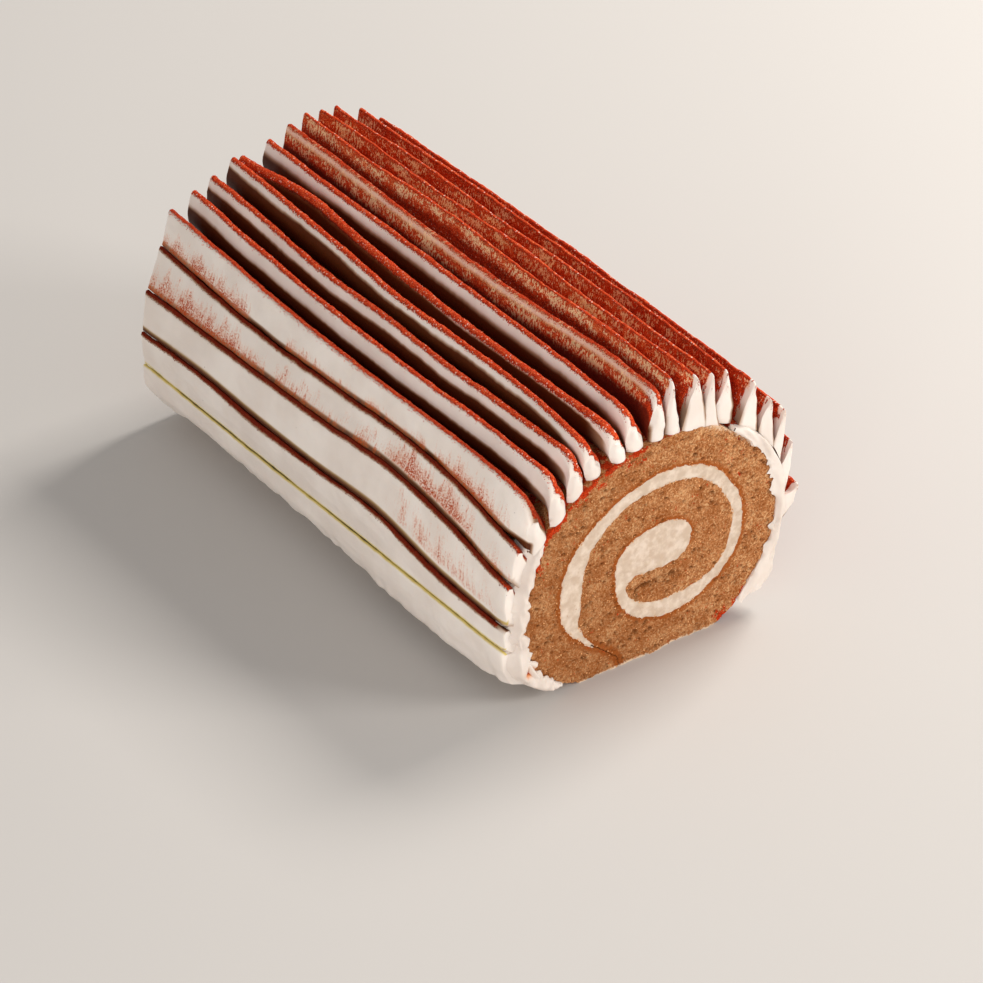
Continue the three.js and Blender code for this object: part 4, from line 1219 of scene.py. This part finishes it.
# ---------------------------------------------------------------- the cocoa
# Sieved cocoa that has clumped into small grains: along the free edges of the ribbons, in the
# folds of the shingles, where painted shade makes them darker, and over the dusted ribs on the
# right. Each grain is a small eight-sided lump lying on the cream.
GRAIN_SIDES = 4
GRAIN_RINGS = 2
ANY_TURN = (6.28, 6.28, 6.28)
SQUARE_MM = 1e6  # in a square metre
SPARSEST = 0.02  # faces with less cocoa than this carry no grains


def grain_tree():
    """Strews small lumps over the faces of a mesh, as thickly as its attribute grains says."""
    tree = bpy.data.node_groups.new("strewn_grains", "GeometryNodeTree")
    given = {}
    for key, kind in (
        ("Geometry", "Geometry"), ("Grains per Square Metre", "Float"), ("Smallest", "Float"),
        ("Largest", "Float"), ("Seed", "Int"), ("Finish", "Material"),
    ):
        socket = tree.interface.new_socket(key, in_out="INPUT", socket_type="NodeSocket" + kind)
        given[key] = socket.identifier
    tree.interface.new_socket("Geometry", in_out="OUTPUT", socket_type="NodeSocketGeometry")
    inputs = tree.nodes.new("NodeGroupInput")
    outputs = tree.nodes.new("NodeGroupOutput")

    def node(kind, sockets, settings=()):
        made = tree.nodes.new(kind)
        for key, setting in dict(settings).items():
            setattr(made, key, setting)
        for key, value in sockets.items():
            if isinstance(value, bpy.types.NodeSocket):
                tree.links.new(value, made.inputs[key])
            else:
                made.inputs[key].default_value = value
        return made

    seed = inputs.outputs["Seed"]
    lying = node("GeometryNodeInputNamedAttribute", {"Name": "grains"}, {"data_type": "FLOAT"})
    thickly = node("ShaderNodeMath", {
        0: inputs.outputs["Grains per Square Metre"], 1: lying.outputs["Attribute"],
    }, {"operation": "MULTIPLY"})
    places = node("GeometryNodeDistributePointsOnFaces", {
        "Mesh": inputs.outputs["Geometry"], "Density": thickly.outputs[0], "Seed": seed,
    })
    lump = node("GeometryNodeMeshUVSphere", {
        "Segments": GRAIN_SIDES, "Rings": GRAIN_RINGS, "Radius": 0.5,
    })
    turned = node("FunctionNodeRandomValue", {
        0: (0, 0, 0), 1: ANY_TURN, "Seed": seed,
    }, {"data_type": "FLOAT_VECTOR"})
    sized = node("FunctionNodeRandomValue", {
        2: inputs.outputs["Smallest"], 3: inputs.outputs["Largest"], "Seed": seed,
    }, {"data_type": "FLOAT"})
    strewn = node("GeometryNodeInstanceOnPoints", {
        "Points": places.outputs["Points"], "Instance": lump.outputs["Mesh"],
        "Rotation": turned.outputs[0], "Scale": sized.outputs[1],
    })
    real = node("GeometryNodeRealizeInstances", {"Geometry": strewn.outputs["Instances"]})
    finished = node("GeometryNodeSetMaterial", {
        "Geometry": real.outputs["Geometry"], "Material": inputs.outputs["Finish"],
    })
    tree.links.new(finished.outputs["Geometry"], outputs.inputs["Geometry"])
    return tree, given


def strewn(name, points, faces, lying, per_square_mm, sizes, seed, finish, slot):
    """One piece of real grains, strewn over the given faces."""
    carrier = piece(name + "_carrier", points, faces, finish, {"grains": lying})
    modifier = carrier.modifiers.new("grains", "NODES")
    modifier.node_group = strewn_tree
    settings = {
        "Grains per Square Metre": per_square_mm * SQUARE_MM, "Smallest": sizes[0] * MM,
        "Largest": sizes[1] * MM, "Seed": seed, "Finish": finish,
    }
    for key, value in settings.items():
        modifier[strewn_inputs[key]] = value
    bpy.context.view_layer.update()
    mesh = bpy.data.meshes.new_from_object(carrier.evaluated_get(bpy.context.evaluated_depsgraph_get()))
    mesh.name = name
    if mesh.attributes.get("grains"):
        mesh.attributes.remove(mesh.attributes["grains"])
    bpy.data.objects.remove(carrier)
    made = bpy.data.objects.new(name, mesh)
    scene.collection.objects.link(made)
    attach(made, "root")


def grain_finish(name, dark, red, bright):
    """Dry cocoa powder in three shades, from grain to grain."""
    finish = Finish(name, Roughness=0.9, Specular_IOR_Level=0.15)
    tint = finish.noise(0.3, 1)
    colour = tint.above(0.3, 0.55).colours(dark, red)
    colour = tint.above(0.6, 0.68).colours(colour, bright)
    finish.set("Base Color", colour)
    return finish.material


strewn_tree, strewn_inputs = grain_tree()
cocoa = grain_finish("cocoa_grain", COCOA_DARK, COCOA_RED, shade(240, 150, 110))
# A darker copy of the cocoa grains, with painted shade for the folds.
fold_shaded_cocoa = grain_finish("fold_shaded_cocoa_grain", shade(70, 12, 2), shade(128, 30, 6), shade(168, 64, 26))
GRAIN_PIECES = {
    "cocoa_on_left_crests": (range(4, 8), 9, (0.16, 0.4), cocoa),
    "cocoa_on_upper_crests": (range(8, 11), 9, (0.16, 0.4), cocoa),
    "cocoa_on_top": (range(11, 13), 4, (0.18, 0.45), cocoa),
    "cocoa_on_top_right": (range(13, 15), 4, (0.18, 0.45), cocoa),
    "cocoa_on_right_flank": (range(15, 18), 3, (0.18, 0.4), cocoa),
    "cocoa_low_on_right_flank": (range(18, 22), 3, (0.18, 0.4), cocoa),
    "cocoa_in_folds": (range(1, 4), 12, (0.16, 0.42), fold_shaded_cocoa),
}
for seed, (name, (ribs, per_square_mm, sizes, grain)) in enumerate(GRAIN_PIECES.items()):
    points = []
    faces = []
    lying = []
    for index, rings, density in dusted:
        if index in ribs:
            stations, around, _ = rings.shape
            first = sum(len(p) for p in points)
            density = np.broadcast_to(density, (stations, around))
            for i in range(stations - 1):
                for j in range(around - 1):
                    if density[i, j] + density[i, j + 1] > SPARSEST:
                        a = first + i * around + j
                        faces.append((a, a + 1, a + around + 1, a + around))
            points.append(rings.reshape(-1, 3))
            lying.append(density.ravel())
    points = np.vstack(points)
    lying = np.concatenate(lying)
    strewn(name, points, faces, lying, per_square_mm, sizes, 200 + seed, grain, "dusted_cream")


# ---------------------------------------------------------------- the crumbs
# Crumbs the knife tore loose, lying on both cut faces and thickest along the edges of the cream.
CRUMBS_PER_SQUARE_MM = 0.55
CRUMB_SIZES = (0.25, 0.7)


def loose_crumb_finish():
    """The same crumb as the cut face, a little paler."""
    finish = Finish("loose_crumb", Roughness=0.95, Specular_IOR_Level=0.1)
    tint = finish.noise(0.5, 2)
    finish.set("Base Color", tint.above(0.35, 0.62).colours(shade(170, 96, 42), shade(240, 184, 128)))
    return finish.material


crumb = loose_crumb_finish()
for name, start in (("crumbs_front", 0), ("crumbs_back", sponge_end)):
    end = start + sponge_end
    face_points = sponge_points[start:end]
    lying = 0.3 + 0.7 * np.exp(-distance_to(cream_line, face_points[:, [0, 2]]) / 1.2)
    on_end = [face for face in sponge_faces if min(face) >= start and max(face) < end]
    thirds = [tuple(k - start for k in face) for face in on_end]
    seed = 230 + start % 7
    strewn(name, face_points, thirds, lying, CRUMBS_PER_SQUARE_MM, CRUMB_SIZES, seed, crumb, "sponge")
